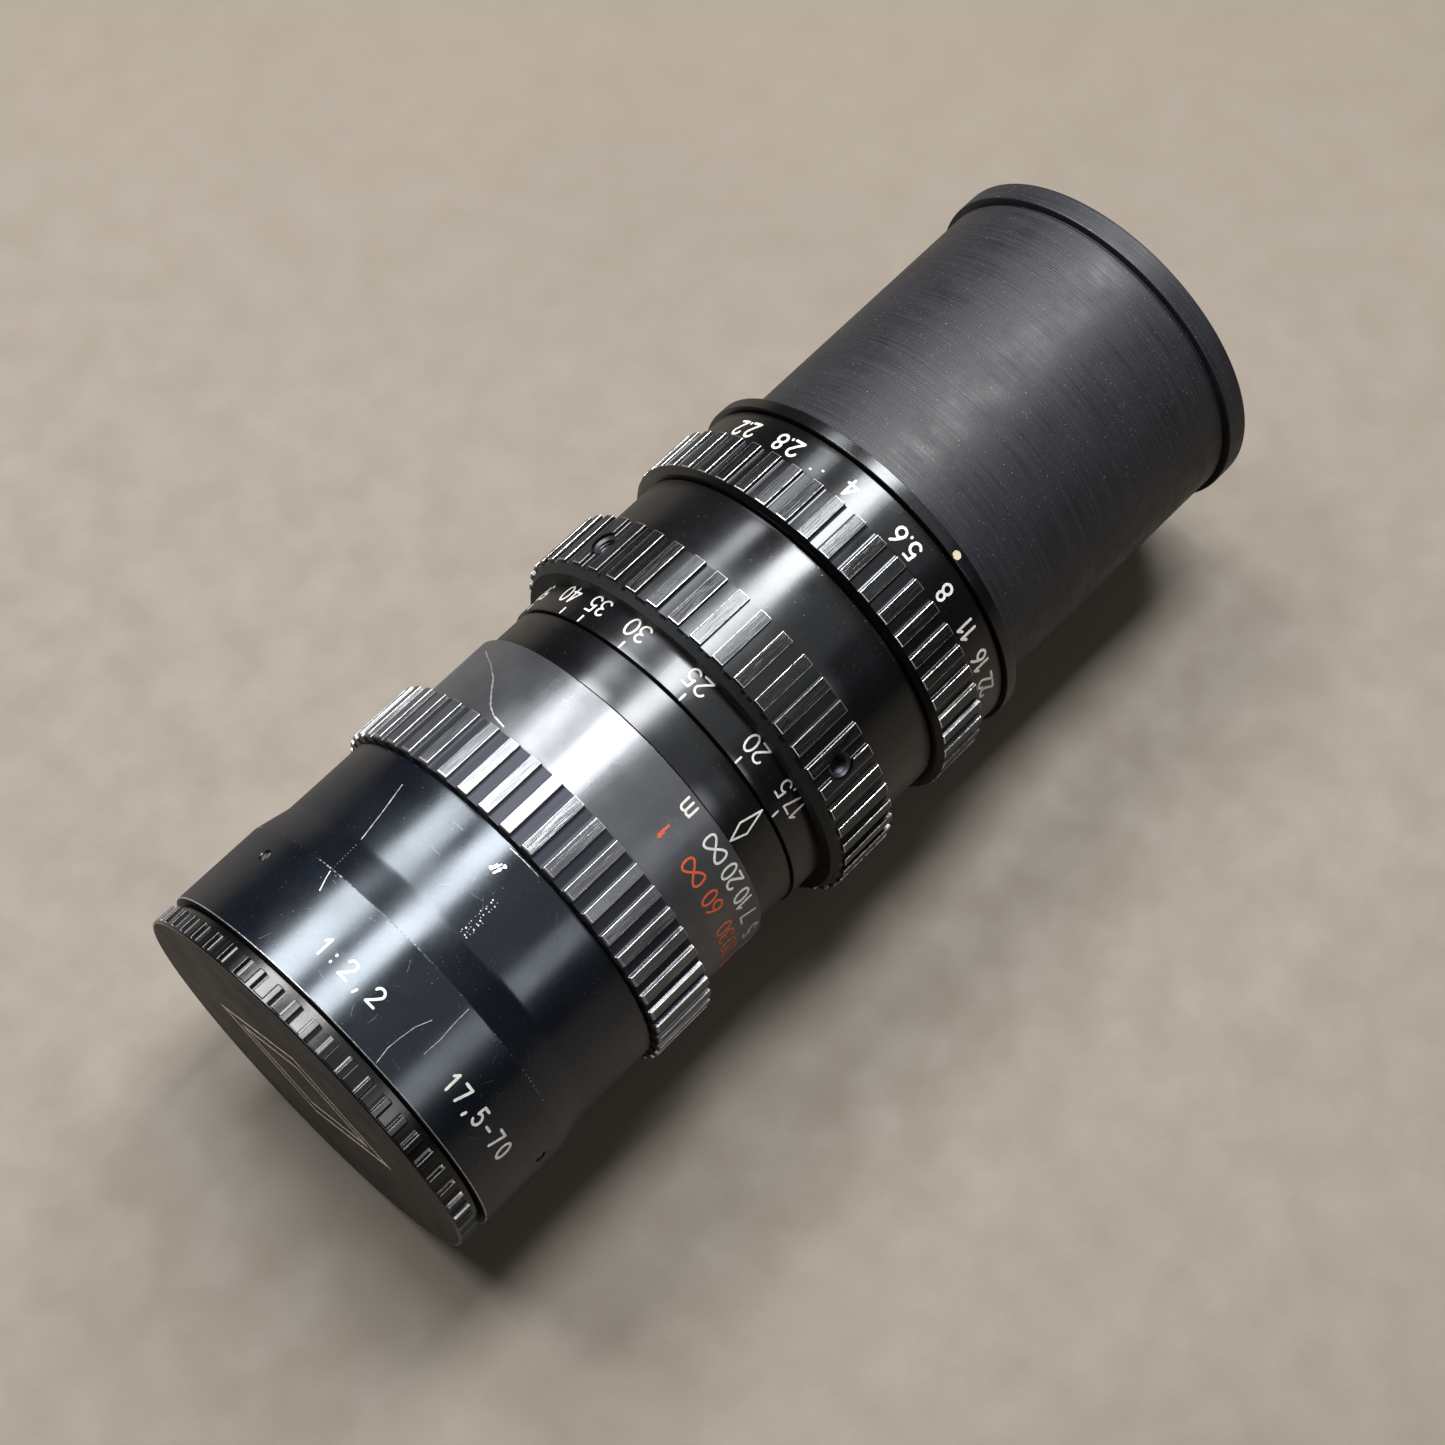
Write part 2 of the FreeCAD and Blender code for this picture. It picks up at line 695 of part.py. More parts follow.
def cam_groove(name, station, angle, travel_per_degree):
    """A helical bar that cuts the slot a follower pin runs in while the sleeve turns."""
    low = size("zoom_turn_low - cam_run_out")
    high = size("zoom_turn_high + cam_run_out")
    middle = (size("cam_bore") + size("main_bore")) / 2
    half_depth = size("main_bore - cam_bore")
    travel = size(travel_per_degree)
    pitch = travel * 360
    slope = math.atan2(pitch, 2 * math.pi * middle)
    half_width = size("cam_slot_width") / 2 / math.cos(slope)
    helix = Part.makeHelix(pitch, travel * (high - low), middle)
    corners = [
        Vector(middle - half_depth, 0, -half_width),
        Vector(middle + half_depth, 0, -half_width),
        Vector(middle + half_depth, 0, half_width),
        Vector(middle - half_depth, 0, half_width),
    ]
    profile = Part.makePolygon(corners + corners[:1])
    bar = Part.Wire(helix).makePipeShell([profile], True, True)
    # the helix climbs while it turns one way; the sleeve needs it to climb turning the other way
    bar = bar.mirror(Vector(), Vector(0, 1, 0))
    groove = doc.addObject("Part::Feature", name)
    groove.Shape = bar
    start = size(station) + travel * low - size("overall_length") / 2
    aim = Rotation(AXIS, angle - low + 90).multiply(Rotation(Vector(0, 1, 0), 90))
    groove.Placement = FreeCAD.Placement(Vector(start, 0, size("axis_height")), aim)
    return groove


def cam_sleeve():
    body = turned("cam_sleeve_turned", [
        ("cam_front", "cam_bore"),
        ("cam_front", "main_bore - running_gap"),
        ("cam_rear", "main_bore - running_gap"),
        ("cam_rear", "cam_bore"),
    ])
    tools = []
    for turn in (0, 180):
        tools.append(cam_groove(f"variator_groove_{turn}", "variator_pin_station",
                                turn + size("variator_pin_angle"), "variator_travel_per_degree"))
        tools.append(cam_groove(f"compensator_groove_{turn}", "compensator_pin_station",
                                turn + size("compensator_pin_angle"),
                                "compensator_travel_per_degree"))
        tools.append(radial_rod(f"cam_pin_hole_{turn}", "zoom_pin_station", turn, "cam_bore - tool_clear",
                                "main_bore", "zoom_pin_radius + seat_gap"))
    finish("cam_sleeve", cut("cam_sleeve_cut", body, tools))


def pins():
    for word, turn in (("right", 0), ("left", 180)):
        finish(f"zoom_drive_pin_{word}", radial_rod(
            f"zoom_pin_{word}", "zoom_pin_station", turn, "zoom_pin_inner", "zoom_pin_outer",
            "zoom_pin_radius"))
        finish(f"aperture_drive_pin_{word}", radial_rod(
            f"aperture_pin_{word}", "aperture_pin_station", turn, "aperture_pin_inner",
            "aperture_pin_outer", "aperture_pin_radius"))
    for word, turn in (("upper", 0), ("lower", 180)):
        for group in ("variator", "compensator"):
            finish(f"{group}_follower_{word}", radial_rod(
                f"{group}_pin_{word}", f"{group}_pin_station", f"{turn} + {group}_pin_angle",
                f"{group}_lens_radius + follower_seat", "follower_outer", "follower_radius"))


def carriage(group, corners):
    """A sliding lens carriage with holes for its two follower pins."""
    body = turned(f"{group}_carriage_turned", corners)
    tools = [
        radial_rod(f"{group}_carriage_hole_{turn}", f"{group}_pin_station",
                   f"{turn} + {group}_pin_angle", f"{group}_lens_radius + follower_seat", "guide_radius",
                   "follower_radius + seat_gap")
        for turn in (0, 180)
    ]
    finish(f"{group}_carriage", cut(f"{group}_carriage_cut", body, tools))


def moving_groups():
    carriage("variator", [
        ("variator_front", "variator_lens_radius + seat_gap"),
        ("variator_front", "guide_bore - running_gap"),
        ("variator_rear", "guide_bore - running_gap"),
        ("variator_rear", "variator_bore"),
        ("variator_shoulder_rear", "variator_bore"),
        ("variator_shoulder_rear", "variator_shoulder_radius"),
        ("variator_shoulder_front", "variator_shoulder_radius"),
        ("variator_shoulder_front", "variator_lens_radius + seat_gap"),
    ])
    lens_element("variator_lens", "variator_lens_vertex", "variator_lens_thickness",
                 "variator_lens_radius", "-variator_lens_curve", "-variator_lens_curve")
    carriage("compensator", [
        ("compensator_front", "compensator_lens_radius + seat_gap"),
        ("compensator_front", "guide_bore - running_gap"),
        ("compensator_rear", "guide_bore - running_gap"),
        ("compensator_rear", "compensator_shoulder_radius"),
        ("compensator_shoulder_front", "compensator_shoulder_radius"),
        ("compensator_shoulder_front", "compensator_lens_radius + seat_gap"),
    ])
    lens_element("compensator_lens", "compensator_lens_vertex", "compensator_lens_thickness",
                 "compensator_lens_radius", "-compensator_lens_curve", "0")


# ---- aperture ring and iris ----------------------------------------------------------------



def aperture_ring():
    body = turned("aperture_ring_turned", [
        ("aperture_front", "aperture_bore"),
        ("aperture_front", "aperture_flange_radius"),
        ("aperture_knurl_front", "aperture_knurl_radius - flute_depth"),
        ("aperture_knurl_front", "aperture_knurl_radius"),
        ("aperture_knurl_rear", "aperture_knurl_radius"),
        ("aperture_knurl_rear", "aperture_scale_radius"),
        ("aperture_rear", "aperture_scale_radius"),
        ("aperture_rear", "aperture_bore"),
    ])
    flute(body, "aperture_knurl_front", "aperture_knurl_rear", "aperture_knurl_radius",
          "flute_depth", "flute_width", "flute_count", "aperture_flute_angle")
    tools = [
        radial_rod(f"aperture_pin_hole_{turn}", "aperture_pin_station", turn, "aperture_bore - tool_clear",
                   "aperture_pin_outer + seat_gap", "aperture_pin_radius + seat_gap")
        for turn in (0, 180)
    ]
    finish("aperture_ring", cut("aperture_ring_cut", body, tools))


def axial_rod(name, front, rear, circle, angle, radius):
    """A round rod parallel to the lens axis, on a circle about it."""
    rod = doc.addObject("Part::Cylinder", name)
    rod.Placement = FreeCAD.Placement(Vector(), Rotation(Vector(0, 1, 0), 90))
    rod.setExpression("Radius", bound(radius))
    rod.setExpression("Height", bound(f"({rear}) - ({front})"))
    rod.setExpression("Placement.Base.x", bound(f"({front}) - overall_length / 2"))
    rod.setExpression("Placement.Base.y", bound(f"{circle} * cos({angle})"))
    rod.setExpression("Placement.Base.z", bound(f"axis_height + {circle} * sin({angle})"))
    return rod


def iris_base():
    body = turned("iris_base_turned", [
        ("iris_base_front", "iris_opening"),
        ("iris_base_front", "main_bore - seat_gap"),
        ("iris_base_rear", "main_bore - seat_gap"),
        ("iris_base_rear", "iris_opening"),
    ])
    tools = [
        axial_rod(f"pivot_hole_{number}", "iris_base_front", "iris_base_rear + tool_clear",
                  "iris_pivot_circle", number * 360 / BLADE_COUNT,
                  "iris_pivot_radius + running_gap / 2")
        for number in range(BLADE_COUNT)
    ]
    finish("iris_base", cut("iris_base_cut", body, tools))


def blade_turn(ring_angle):
    """How far a blade is swung in when the aperture ring stands at this angle."""
    high = size("aperture_turn_high")
    low = size("aperture_turn_low")
    return size("iris_close_angle") * (high - ring_angle) / (high - low)


def drive_point(ring_angle):
    """Where a blade's drive pin is, as (across, up), for the blade whose pivot is at angle 0."""
    swing = math.radians(size("iris_arm_angle") + blade_turn(ring_angle))
    arm = size("iris_arm")
    return size("iris_pivot_circle") + arm * math.cos(swing), arm * math.sin(swing)


def blade_shape(number):
    """One iris blade, its pivot stud and its drive pin, wide open, in the lens's stations."""
    thickness = size("iris_blade_thickness")
    front = size("iris_first_blade") + number * size("iris_blade_pitch")
    pivot_circle = size("iris_pivot_circle")
    half = size("iris_arm_half_width")
    along = Vector(1, 0, 0)

    def rod(across, up, start, end, radius):
        return Part.makeCylinder(radius, end - start, Vector(start, across, up), along)

    def strip(from_point, to_point):
        run = Vector(0, to_point[0] - from_point[0], to_point[1] - from_point[1])
        side = along.cross(run).normalize() * half
        start = Vector(front, *from_point)
        corners = [start - side, start + side, start + run + side, start + run - side]
        return Part.Face(Part.makePolygon(corners + corners[:1])).extrude(along * thickness)

    rear = front + thickness
    outer = size("iris_blade_outer")
    span = size("iris_blade_span")
    sector = Part.makeCylinder(outer, thickness, Vector(front, 0, 0), along, span)
    sector = sector.cut(rod(0, 0, front, rear, size("iris_blade_inner")))
    # a wedge of a cylinder along +X starts at the top; the blade starts a little before the side
    sector.rotate(Vector(), along, -90 - size("iris_blade_tail"))
    swing = math.radians(size("iris_arm_angle"))
    arm = size("iris_arm")
    drive = (pivot_circle + arm * math.cos(swing), arm * math.sin(swing))
    pieces = [
        strip((outer - 2 * half, 0), (pivot_circle, 0)),
        rod(pivot_circle, 0, front, rear, half),
        strip((pivot_circle, 0), drive),
        rod(*drive, front, rear, half),
        rod(pivot_circle, 0, size("iris_base_front + iris_pin_short"), front, size("iris_pivot_radius")),
        rod(*drive, rear, size("scroll_plate_rear - iris_pin_short"), size("iris_drive_radius")),
    ]
    return sector.multiFuse(pieces).removeSplitter()


def iris_blades():
    for number in range(BLADE_COUNT):
        shape = blade_shape(number)
        shape.rotate(Vector(0, size("iris_pivot_circle"), 0), AXIS, blade_turn(0))
        shape.rotate(Vector(), AXIS, number * 360 / BLADE_COUNT)
        blade = doc.addObject("Part::Feature", f"blade_{number}")
        blade.Shape = shape
        in_place(blade)
        finish(f"iris_blade_{number + 1}", blade)


def scroll_slot(steps):
    """The spiral slot that carries one drive pin while the scroll plate turns."""
    low = size("aperture_turn_low - scroll_run_out")
    high = size("aperture_turn_high + scroll_run_out")
    half = size("iris_drive_radius") + size("running_gap") / 2
    front = size("scroll_front - tool_clear")
    depth = size("scroll_plate_rear + tool_clear") - front
    path = []
    for step in range(steps + 1):
        ring_angle = low + (high - low) * step / steps
        across, up = drive_point(ring_angle)
        path.append(Rotation(AXIS, -ring_angle).multVec(Vector(0, across, up)))
    left = []
    right = []
    for index, point in enumerate(path):
        before = path[max(index - 1, 0)]
        after = path[min(index + 1, steps)]
        side = AXIS.cross(after - before).normalize() * half
        left.append(point + side)
        right.append(point - side)
    outline = left + right[::-1]
    face = Part.Face(Part.makePolygon(outline + outline[:1]))
    slot = face.extrude(AXIS * depth)
    ends = [Part.makeCylinder(half, depth, end, AXIS) for end in (path[0], path[-1])]
    slot = slot.multiFuse(ends)
    slot.translate(AXIS * front)
    return slot


def scroll_plate():
    body = turned("scroll_plate_turned", [
        ("scroll_front", "iris_opening"),
        ("scroll_front", "main_bore - running_gap"),
        ("scroll_rim_rear", "main_bore - running_gap"),
        ("scroll_rim_rear", "scroll_rim_bore"),
        ("scroll_plate_rear", "scroll_rim_bore"),
        ("scroll_plate_rear", "iris_opening"),
    ])
    tools = []
    shape = scroll_slot(SCROLL_STEPS)
    for number in range(BLADE_COUNT):
        slot = doc.addObject("Part::Feature", f"scroll_slot_{number}")
        copy = shape.copy()
        copy.rotate(Vector(), AXIS, number * 360 / BLADE_COUNT)
        slot.Shape = copy
        in_place(slot)
        tools.append(slot)
    for turn in (0, 180):
        tools.append(radial_rod(f"scroll_pin_hole_{turn}", "aperture_pin_station", turn,
                                "aperture_pin_inner - 0.1", "main_bore",
                                "aperture_pin_radius + seat_gap"))
    finish("iris_scroll_plate", cut("scroll_plate_cut", body, tools))


def iris_retainer():
    finish("iris_retainer", turned("iris_retainer_turned", [
        ("iris_retainer_front", "iris_opening"),
        ("iris_retainer_front", "main_bore - seat_gap"),
        ("iris_retainer_rear", "main_bore - seat_gap"),
        ("iris_retainer_rear", "iris_opening"),
    ]))


# ---- rear of the lens ----------------------------------------------------------------------

def rear_index_ring():
    finish("rear_index_ring", turned("rear_index_ring_turned", [
        ("rear_index_front", "main_rear_radius + seat_gap"),
        ("rear_index_front", "rear_index_radius"),
        ("main_rear", "rear_index_radius"),
        ("main_rear", "main_rear_radius + seat_gap"),
    ]))


def rear_barrel():
    finish("rear_barrel", turned("rear_barrel_turned", [
        ("rear_barrel_front", "rear_barrel_bore"),
        ("rear_barrel_front", "main_bore - seat_gap"),
        ("cap_seat_front", "main_bore - seat_gap"),
        ("cap_seat_front", "cap_seat_radius"),
        ("cap_seat_rear", "cap_seat_radius"),
        ("cap_seat_rear", "rear_barrel_radius"),
        ("rear_cone_front", "rear_barrel_radius"),
        ("rear_cone_rear", "rear_neck_radius"),
        ("rear_barrel_rear", "rear_neck_radius"),
        ("rear_barrel_rear", "rear_neck_bore"),
        ("rear_bore_end", "rear_neck_bore"),
        ("rear_bore_end", "rear_barrel_bore"),
    ]))


def prime_group():
    finish("prime_cell", turned("prime_cell_turned", [
        ("relay_cell_front", "relay_lens_radius + seat_gap"),
        ("relay_cell_front", "rear_barrel_bore - seat_gap"),
        ("relay_cell_rear", "rear_barrel_bore - seat_gap"),
        ("relay_cell_rear", "relay_shoulder_radius"),
        ("relay_shoulder_front", "relay_shoulder_radius"),
        ("relay_shoulder_front", "relay_lens_radius + seat_gap"),
    ]))
    for word, vertex in (("front", "relay_first_vertex"), ("rear", "relay_second_vertex")):
        lens_element(f"prime_{word}_lens", vertex, "relay_lens_thickness", "relay_lens_radius",
                     "relay_lens_curve", "relay_lens_curve")


def camera_mount():
    finish("mount_ring", turned("mount_ring_turned", [
        ("mount_spigot_front", "mount_bore"),
        ("mount_spigot_front", "rear_neck_bore - seat_gap"),
        ("mount_flange_front", "rear_neck_bore - seat_gap"),
        ("mount_flange_front", "mount_flange_radius"),
        ("mount_flange_rear", "mount_flange_radius"),
        ("mount_flange_rear", "mount_thread_radius"),
        ("mount_thread_rear", "mount_thread_radius"),
        ("mount_thread_rear", "mount_bore"),
    ]))
    lens_element("field_lens", "field_lens_vertex", "field_lens_thickness", "field_lens_radius",
                 "field_lens_curve", "0")


def rear_cap():
    finish("rear_cap", turned("rear_cap_turned", [
        ("rear_cap_front", "rear_cap_bore"),
        ("rear_cap_front", "rear_cap_front_radius"),
        ("rear_cap_groove_front", "rear_cap_rear_radius"),
        ("rear_cap_groove_front", "rear_cap_groove_radius"),
        ("rear_cap_flange_front", "rear_cap_groove_radius"),
        ("rear_cap_flange_front", "rear_cap_flange_radius"),
        ("overall_length - rear_cap_edge", "rear_cap_flange_radius"),
        ("overall_length", "rear_cap_flange_radius - rear_cap_edge"),
        ("overall_length", "0"),
        ("rear_cap_floor", "0"),
        ("rear_cap_floor", "rear_cap_bore"),
    ]))


front_cap()
front_barrel()
front_set_screws()
front_cell()
front_glass()
focus_ring()
index_barrel()
main_barrel()
guide_tube()
zoom_ring()
cam_sleeve()
pins()
moving_groups()
aperture_ring()
iris_base()
iris_blades()
scroll_plate()
iris_retainer()
rear_index_ring()
rear_barrel()
prime_group()
camera_mount()
rear_cap()
doc.recompute()

for thing in doc.Objects:
    if "Invalid" in thing.State or "Error" in thing.State:
        raise RuntimeError(f"{thing.Name} did not recompute: {thing.State}")

os.makedirs("parts", exist_ok=True)
for thing in finished:
    if thing.Shape.isNull() or not thing.Shape.isValid():
        raise RuntimeError(f"{thing.Label} has no valid shape")
    thing.Shape.exportStep(f"parts/{thing.Label}.step")
    print(thing.Label, round(thing.Shape.Volume, 1), len(thing.Shape.Solids))
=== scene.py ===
import json
import math
import random

import bmesh
import bpy
from mathutils import Matrix, Vector


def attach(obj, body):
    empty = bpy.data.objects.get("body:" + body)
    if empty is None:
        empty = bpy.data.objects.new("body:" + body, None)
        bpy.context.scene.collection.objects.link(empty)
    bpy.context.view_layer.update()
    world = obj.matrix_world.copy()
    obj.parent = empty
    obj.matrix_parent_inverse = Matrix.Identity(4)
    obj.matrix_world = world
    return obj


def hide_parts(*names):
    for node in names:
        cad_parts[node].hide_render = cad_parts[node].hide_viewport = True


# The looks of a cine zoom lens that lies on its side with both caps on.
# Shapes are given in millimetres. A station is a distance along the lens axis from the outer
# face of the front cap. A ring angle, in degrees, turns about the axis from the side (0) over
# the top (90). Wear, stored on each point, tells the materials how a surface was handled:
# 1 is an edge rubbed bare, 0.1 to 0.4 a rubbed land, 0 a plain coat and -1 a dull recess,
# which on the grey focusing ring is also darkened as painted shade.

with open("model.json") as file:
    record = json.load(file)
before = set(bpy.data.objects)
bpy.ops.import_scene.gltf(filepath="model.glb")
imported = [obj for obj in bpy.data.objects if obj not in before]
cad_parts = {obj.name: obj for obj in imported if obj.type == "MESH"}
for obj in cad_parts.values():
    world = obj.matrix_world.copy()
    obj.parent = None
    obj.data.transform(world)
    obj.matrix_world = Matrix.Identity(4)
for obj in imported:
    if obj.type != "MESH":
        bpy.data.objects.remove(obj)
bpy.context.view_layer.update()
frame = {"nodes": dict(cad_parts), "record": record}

MM = 0.001
HALF_LENGTH = 87.75  # from the outer face of the front cap to the frame's origin
AXIS_HEIGHT = 33.3  # of the lens axis above the floor
SMOOTH_COLUMNS = 288  # points round a plain piece
RIPPLED_COLUMNS = 150  # points round the rear cap, which has many rows of them
PLAIN_ROW = 3.0  # the longest step along the axis on a plain surface
KNURL_ROW = 1.0  # the same on a knurled ring
FINE_ROW = 0.1  # the same where there are print layers or a fine thread
EDGE_FADE = 0.03  # how far beyond a rounding the wear of an edge reaches
THREAD_REACH = 0.05  # how near its crest radius a row belongs to a thread
TURNED_SHARP = 50  # degrees by which an edge turns to look sharp, on a turned piece
CARVED_SHARP = 24  # the same on a small or carved piece
SMALL_COLUMNS = 40  # points round a screw, a bush or a hole
random.seed(7)


# ---- shapes that go round the lens axis ----------------------------------------------------

def place(station, angle, radius):
    """The point at this station, ring angle in degrees and radius, in metres."""
    turn = math.radians(angle)
    return Vector((station - HALF_LENGTH, radius * math.cos(turn),
                   AXIS_HEIGHT + radius * math.sin(turn))) * MM


def even_columns(count=SMOOTH_COLUMNS):
    """Ring angles of a plain round piece, each with its height (1 is the full radius)."""
    return [(360 * index / count, 1.0, 0.0) for index in range(count)]


# across the rounded edge of a land: (edge widths from the flute, height, wear)
LAND_EDGE = ((0.15, 0.86, 0.7), (0.7, 0.97, 1.0), (1.6, 1.0, 0.8))


def fluted_columns(radius, width, count, angle, edge, worn=0.12, flute_wear=0.0):
    """Ring angles of a knurled piece: (angle, 0 in a flute to 1 on a land, wear)."""
    half = math.degrees(math.asin(width / 2 / radius))
    step = math.degrees(edge / radius)
    pitch = 360 / count
    land = pitch / 2 - half - 2.0 * step
    columns = []
    for number in range(count):
        start = angle + pitch * number
        end = start + pitch
        columns += [(start + part * half, 0.0, flute_wear) for part in (0.0, 0.5, 0.94)]
        columns.append((start + half, 0.1, 0.0))
        columns += [(start + half + part * step, height, wear) for part, height, wear in LAND_EDGE]
        columns += [(start + pitch / 2 + part * land, 1.0, worn) for part in (-1.0, 0.0, 1.0)]
        columns += [(end - half - part * step, height, wear)
                    for part, height, wear in reversed(LAND_EDGE)]
        columns.append((end - half, 0.1, 0.0))
        columns += [(end - part * half, 0.0, flute_wear) for part in (0.94, 0.5)]
    return columns


def rounded(corners):
    """A closed outline as (station, radius, wear), from (station, radius, rounding, wear)."""
    rows = []
    count = len(corners)
    for index, (station, radius, size, *worn) in enumerate(corners):
        wear = worn[0] if worn else 0.0
        here = Vector((station, radius))
        if size == 0:
            rows.append((station, radius, wear))
            continue
        before = Vector(corners[index - 1][:2]) - here
        after = Vector(corners[(index + 1) % count][:2]) - here
        reach = min(size, before.length * 0.48, after.length * 0.48)
        start = here + before.normalized() * reach
        end = here + after.normalized() * reach
        if wear > 0:
            rows.append((*(start + before.normalized() * EDGE_FADE), 0.0))
        for part in (0.0, 0.25, 0.5, 0.75, 1.0):
            point = start.lerp(here, part).lerp(here.lerp(end, part), part)
            rows.append((point.x, point.y, wear))
        if wear > 0:
            rows.append((*(end + after.normalized() * EDGE_FADE), 0.0))
    return rows


def filled(rows, longest, fine_above):
    """The outline with points put in wherever a run along the axis is longer than this, or
    than PLAIN_ROW where the run is nearer the axis than fine_above."""
    result = []
    for index, row in enumerate(rows):
        following = rows[(index + 1) % len(rows)]
        run = abs(following[0] - row[0])
        apart = longest if min(row[1], following[1]) >= fine_above else PLAIN_ROW
        pieces = max(1, math.ceil(run / apart))
        for step in range(pieces):
            result.append(tuple(Vector(row).lerp(Vector(following), step / pieces)))
    return result


def relief(station, angle, radius, thread, ripple):
    """How far a thread or a row of print layers moves a point outwards."""
    if thread and thread["start"] < station < thread["end"]:
        if abs(radius - thread["crest"]) < THREAD_REACH:
            phase = (station / thread["pitch"] + angle / 360) % 1
            return thread["depth"] * abs(2 * phase - 1)
    if ripple and ripple["start"] < station < ripple["end"] and radius >= ripple["above"]:
        return ripple["depth"] * math.cos(2 * math.pi * station / ripple["pitch"])
    return 0.0


def bands(rows, columns, closed=True):
    """Faces between rows of points. A closed shape's last row meets its first."""
    faces = []
    for row in range(rows if closed else rows - 1):
        after = (row + 1) % rows
        for column in range(columns):
            beside = (column + 1) % columns
            faces.append((row * columns + column, row * columns + beside,
                          after * columns + beside, after * columns + column))
    return faces


def worn_mesh(name, points, faces, worn):
    mesh = bpy.data.meshes.new(name)
    mesh.from_pydata(points, [], faces)
    mesh.attributes.new("wear", "FLOAT", "POINT").data.foreach_set("value", worn)
    return mesh


def lathe(name, corners, body, node, material, columns=None, flutes=None, thread=None,
          longest=PLAIN_ROW, ripple=None):
    """A round piece that stands for a CAD node. Flutes are cut down to their floor radius,
    between their start and end, where the columns are low. A thread and a ripple (the layers of
    a printed piece) are relief on the surface. Returns the piece's object."""
    columns = columns or even_columns()
    rows = filled(rounded(corners), longest, ripple["above"] if ripple else 0)
    points = []
    worn = []
    for station, radius, row_wear in rows:
        for angle, height, column_wear in columns:
            reach = radius
            wear = row_wear
            if flutes and flutes["start"] <= station <= flutes["end"] and radius > flutes["floor"]:
                reach = flutes["floor"] + (radius - flutes["floor"]) * height
                wear = max(row_wear * height, column_wear) if height else column_wear
            reach += relief(station, angle, radius, thread, ripple)
            points.append(place(station, angle, reach))
            worn.append(wear)
    mesh = worn_mesh(name, points, bands(len(rows), len(columns)), worn)
    tidy(mesh)
    return shown(name, mesh, body, material, node)


def radial_piece(name, profile, station, angle, hollow=False):
    """A round piece about a line that points straight out of the lens, from rows of (height
    above the lens axis, radius, wear). A hollow one is a ring, and its profile goes once round
    the ring's section."""
    turn = math.radians(angle)
    outwards = Vector((0, math.cos(turn), math.sin(turn)))
    side = Vector((0, -math.sin(turn), math.cos(turn)))
    along = Vector((1, 0, 0))
    points = []
    worn = []
    for height, radius, wear in profile:
        worn += [wear] * SMALL_COLUMNS
        for index in range(SMALL_COLUMNS):
            swing = 2 * math.pi * index / SMALL_COLUMNS
            reach = (along * math.cos(swing) + side * math.sin(swing)) * radius * MM
            points.append(place(station, angle, 0) + outwards * height * MM + reach)
    faces = []
    if not hollow:
        last = len(points) - SMALL_COLUMNS
        faces = [list(range(SMALL_COLUMNS)), list(range(last, len(points)))]
    faces += bands(len(profile), SMALL_COLUMNS, hollow)
    mesh = worn_mesh(name, points, faces, worn)
    tidy(mesh, CARVED_SHARP)
    return mesh


def carve(thing, cutter):
    """Takes the cutter's shape out of a piece."""
    tool = bpy.data.objects.new("cutter", cutter)
    bpy.context.scene.collection.objects.link(tool)
    change = thing.modifiers.new("carve", "BOOLEAN")
    change.operation = "DIFFERENCE"
    change.solver = "EXACT"
    change.object = tool
    bpy.context.view_layer.update()
    solved = thing.evaluated_get(bpy.context.evaluated_depsgraph_get())
    mesh = bpy.data.meshes.new_from_object(solved)
    thing.modifiers.clear()
    thing.data = mesh
    bpy.data.objects.remove(tool)
    tidy(mesh, CARVED_SHARP)


def tidy(mesh, sharpest=TURNED_SHARP):
    """Joins the points that meet on the axis, turns all faces outwards, and shades smoothly
    across edges that turn by less than this many degrees."""
    shape = bmesh.new()
    shape.from_mesh(mesh)
    bmesh.ops.remove_doubles(shape, verts=shape.verts, dist=1e-7)
    bmesh.ops.dissolve_degenerate(shape, edges=shape.edges, dist=1e-8)
    bmesh.ops.recalc_face_normals(shape, faces=shape.faces)
    shape.to_mesh(mesh)
    shape.free()
    mesh.shade_smooth()
    mesh.set_sharp_from_angle(angle=math.radians(sharpest))


def shown(name, mesh, body, material, node=None):
    """Puts a mesh in the scene, riding on its body and in place of its CAD node."""
    mesh.materials.append(MATERIALS[material])
    thing = bpy.data.objects.new(name, mesh)
    bpy.context.scene.collection.objects.link(thing)
    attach(thing, body)
    if node:
        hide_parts(node)
    return thing


# ---- marks that lie on a round surface -----------------------------------------------------

def arc(across, up, wide, high, start, end, steps=14):
    """Points along part of an ellipse."""
    turns = [math.radians(start + (end - start) * step / steps) for step in range(steps + 1)]
    return [(across + wide * math.cos(turn), up + high * math.sin(turn)) for turn in turns]


def half_turned(strokes, width):
    """A figure's strokes turned by half a turn, as a 9 is a turned 6."""
    return [[(width - across, 1 - up) for across, up in stroke] for stroke in strokes]


def infinity_sign():
    turns = [2 * math.pi * step / 48 for step in range(49)]
    return [[(0.85 + 0.8 * math.sin(turn), 0.5 + 0.39 * math.sin(2 * turn)) for turn in turns]]


SIX = [[(0.47, 1.0), (0.3, 0.83), (0.14, 0.58), (0.05, 0.36)], arc(0.3, 0.29, 0.27, 0.29, 0, 360)]
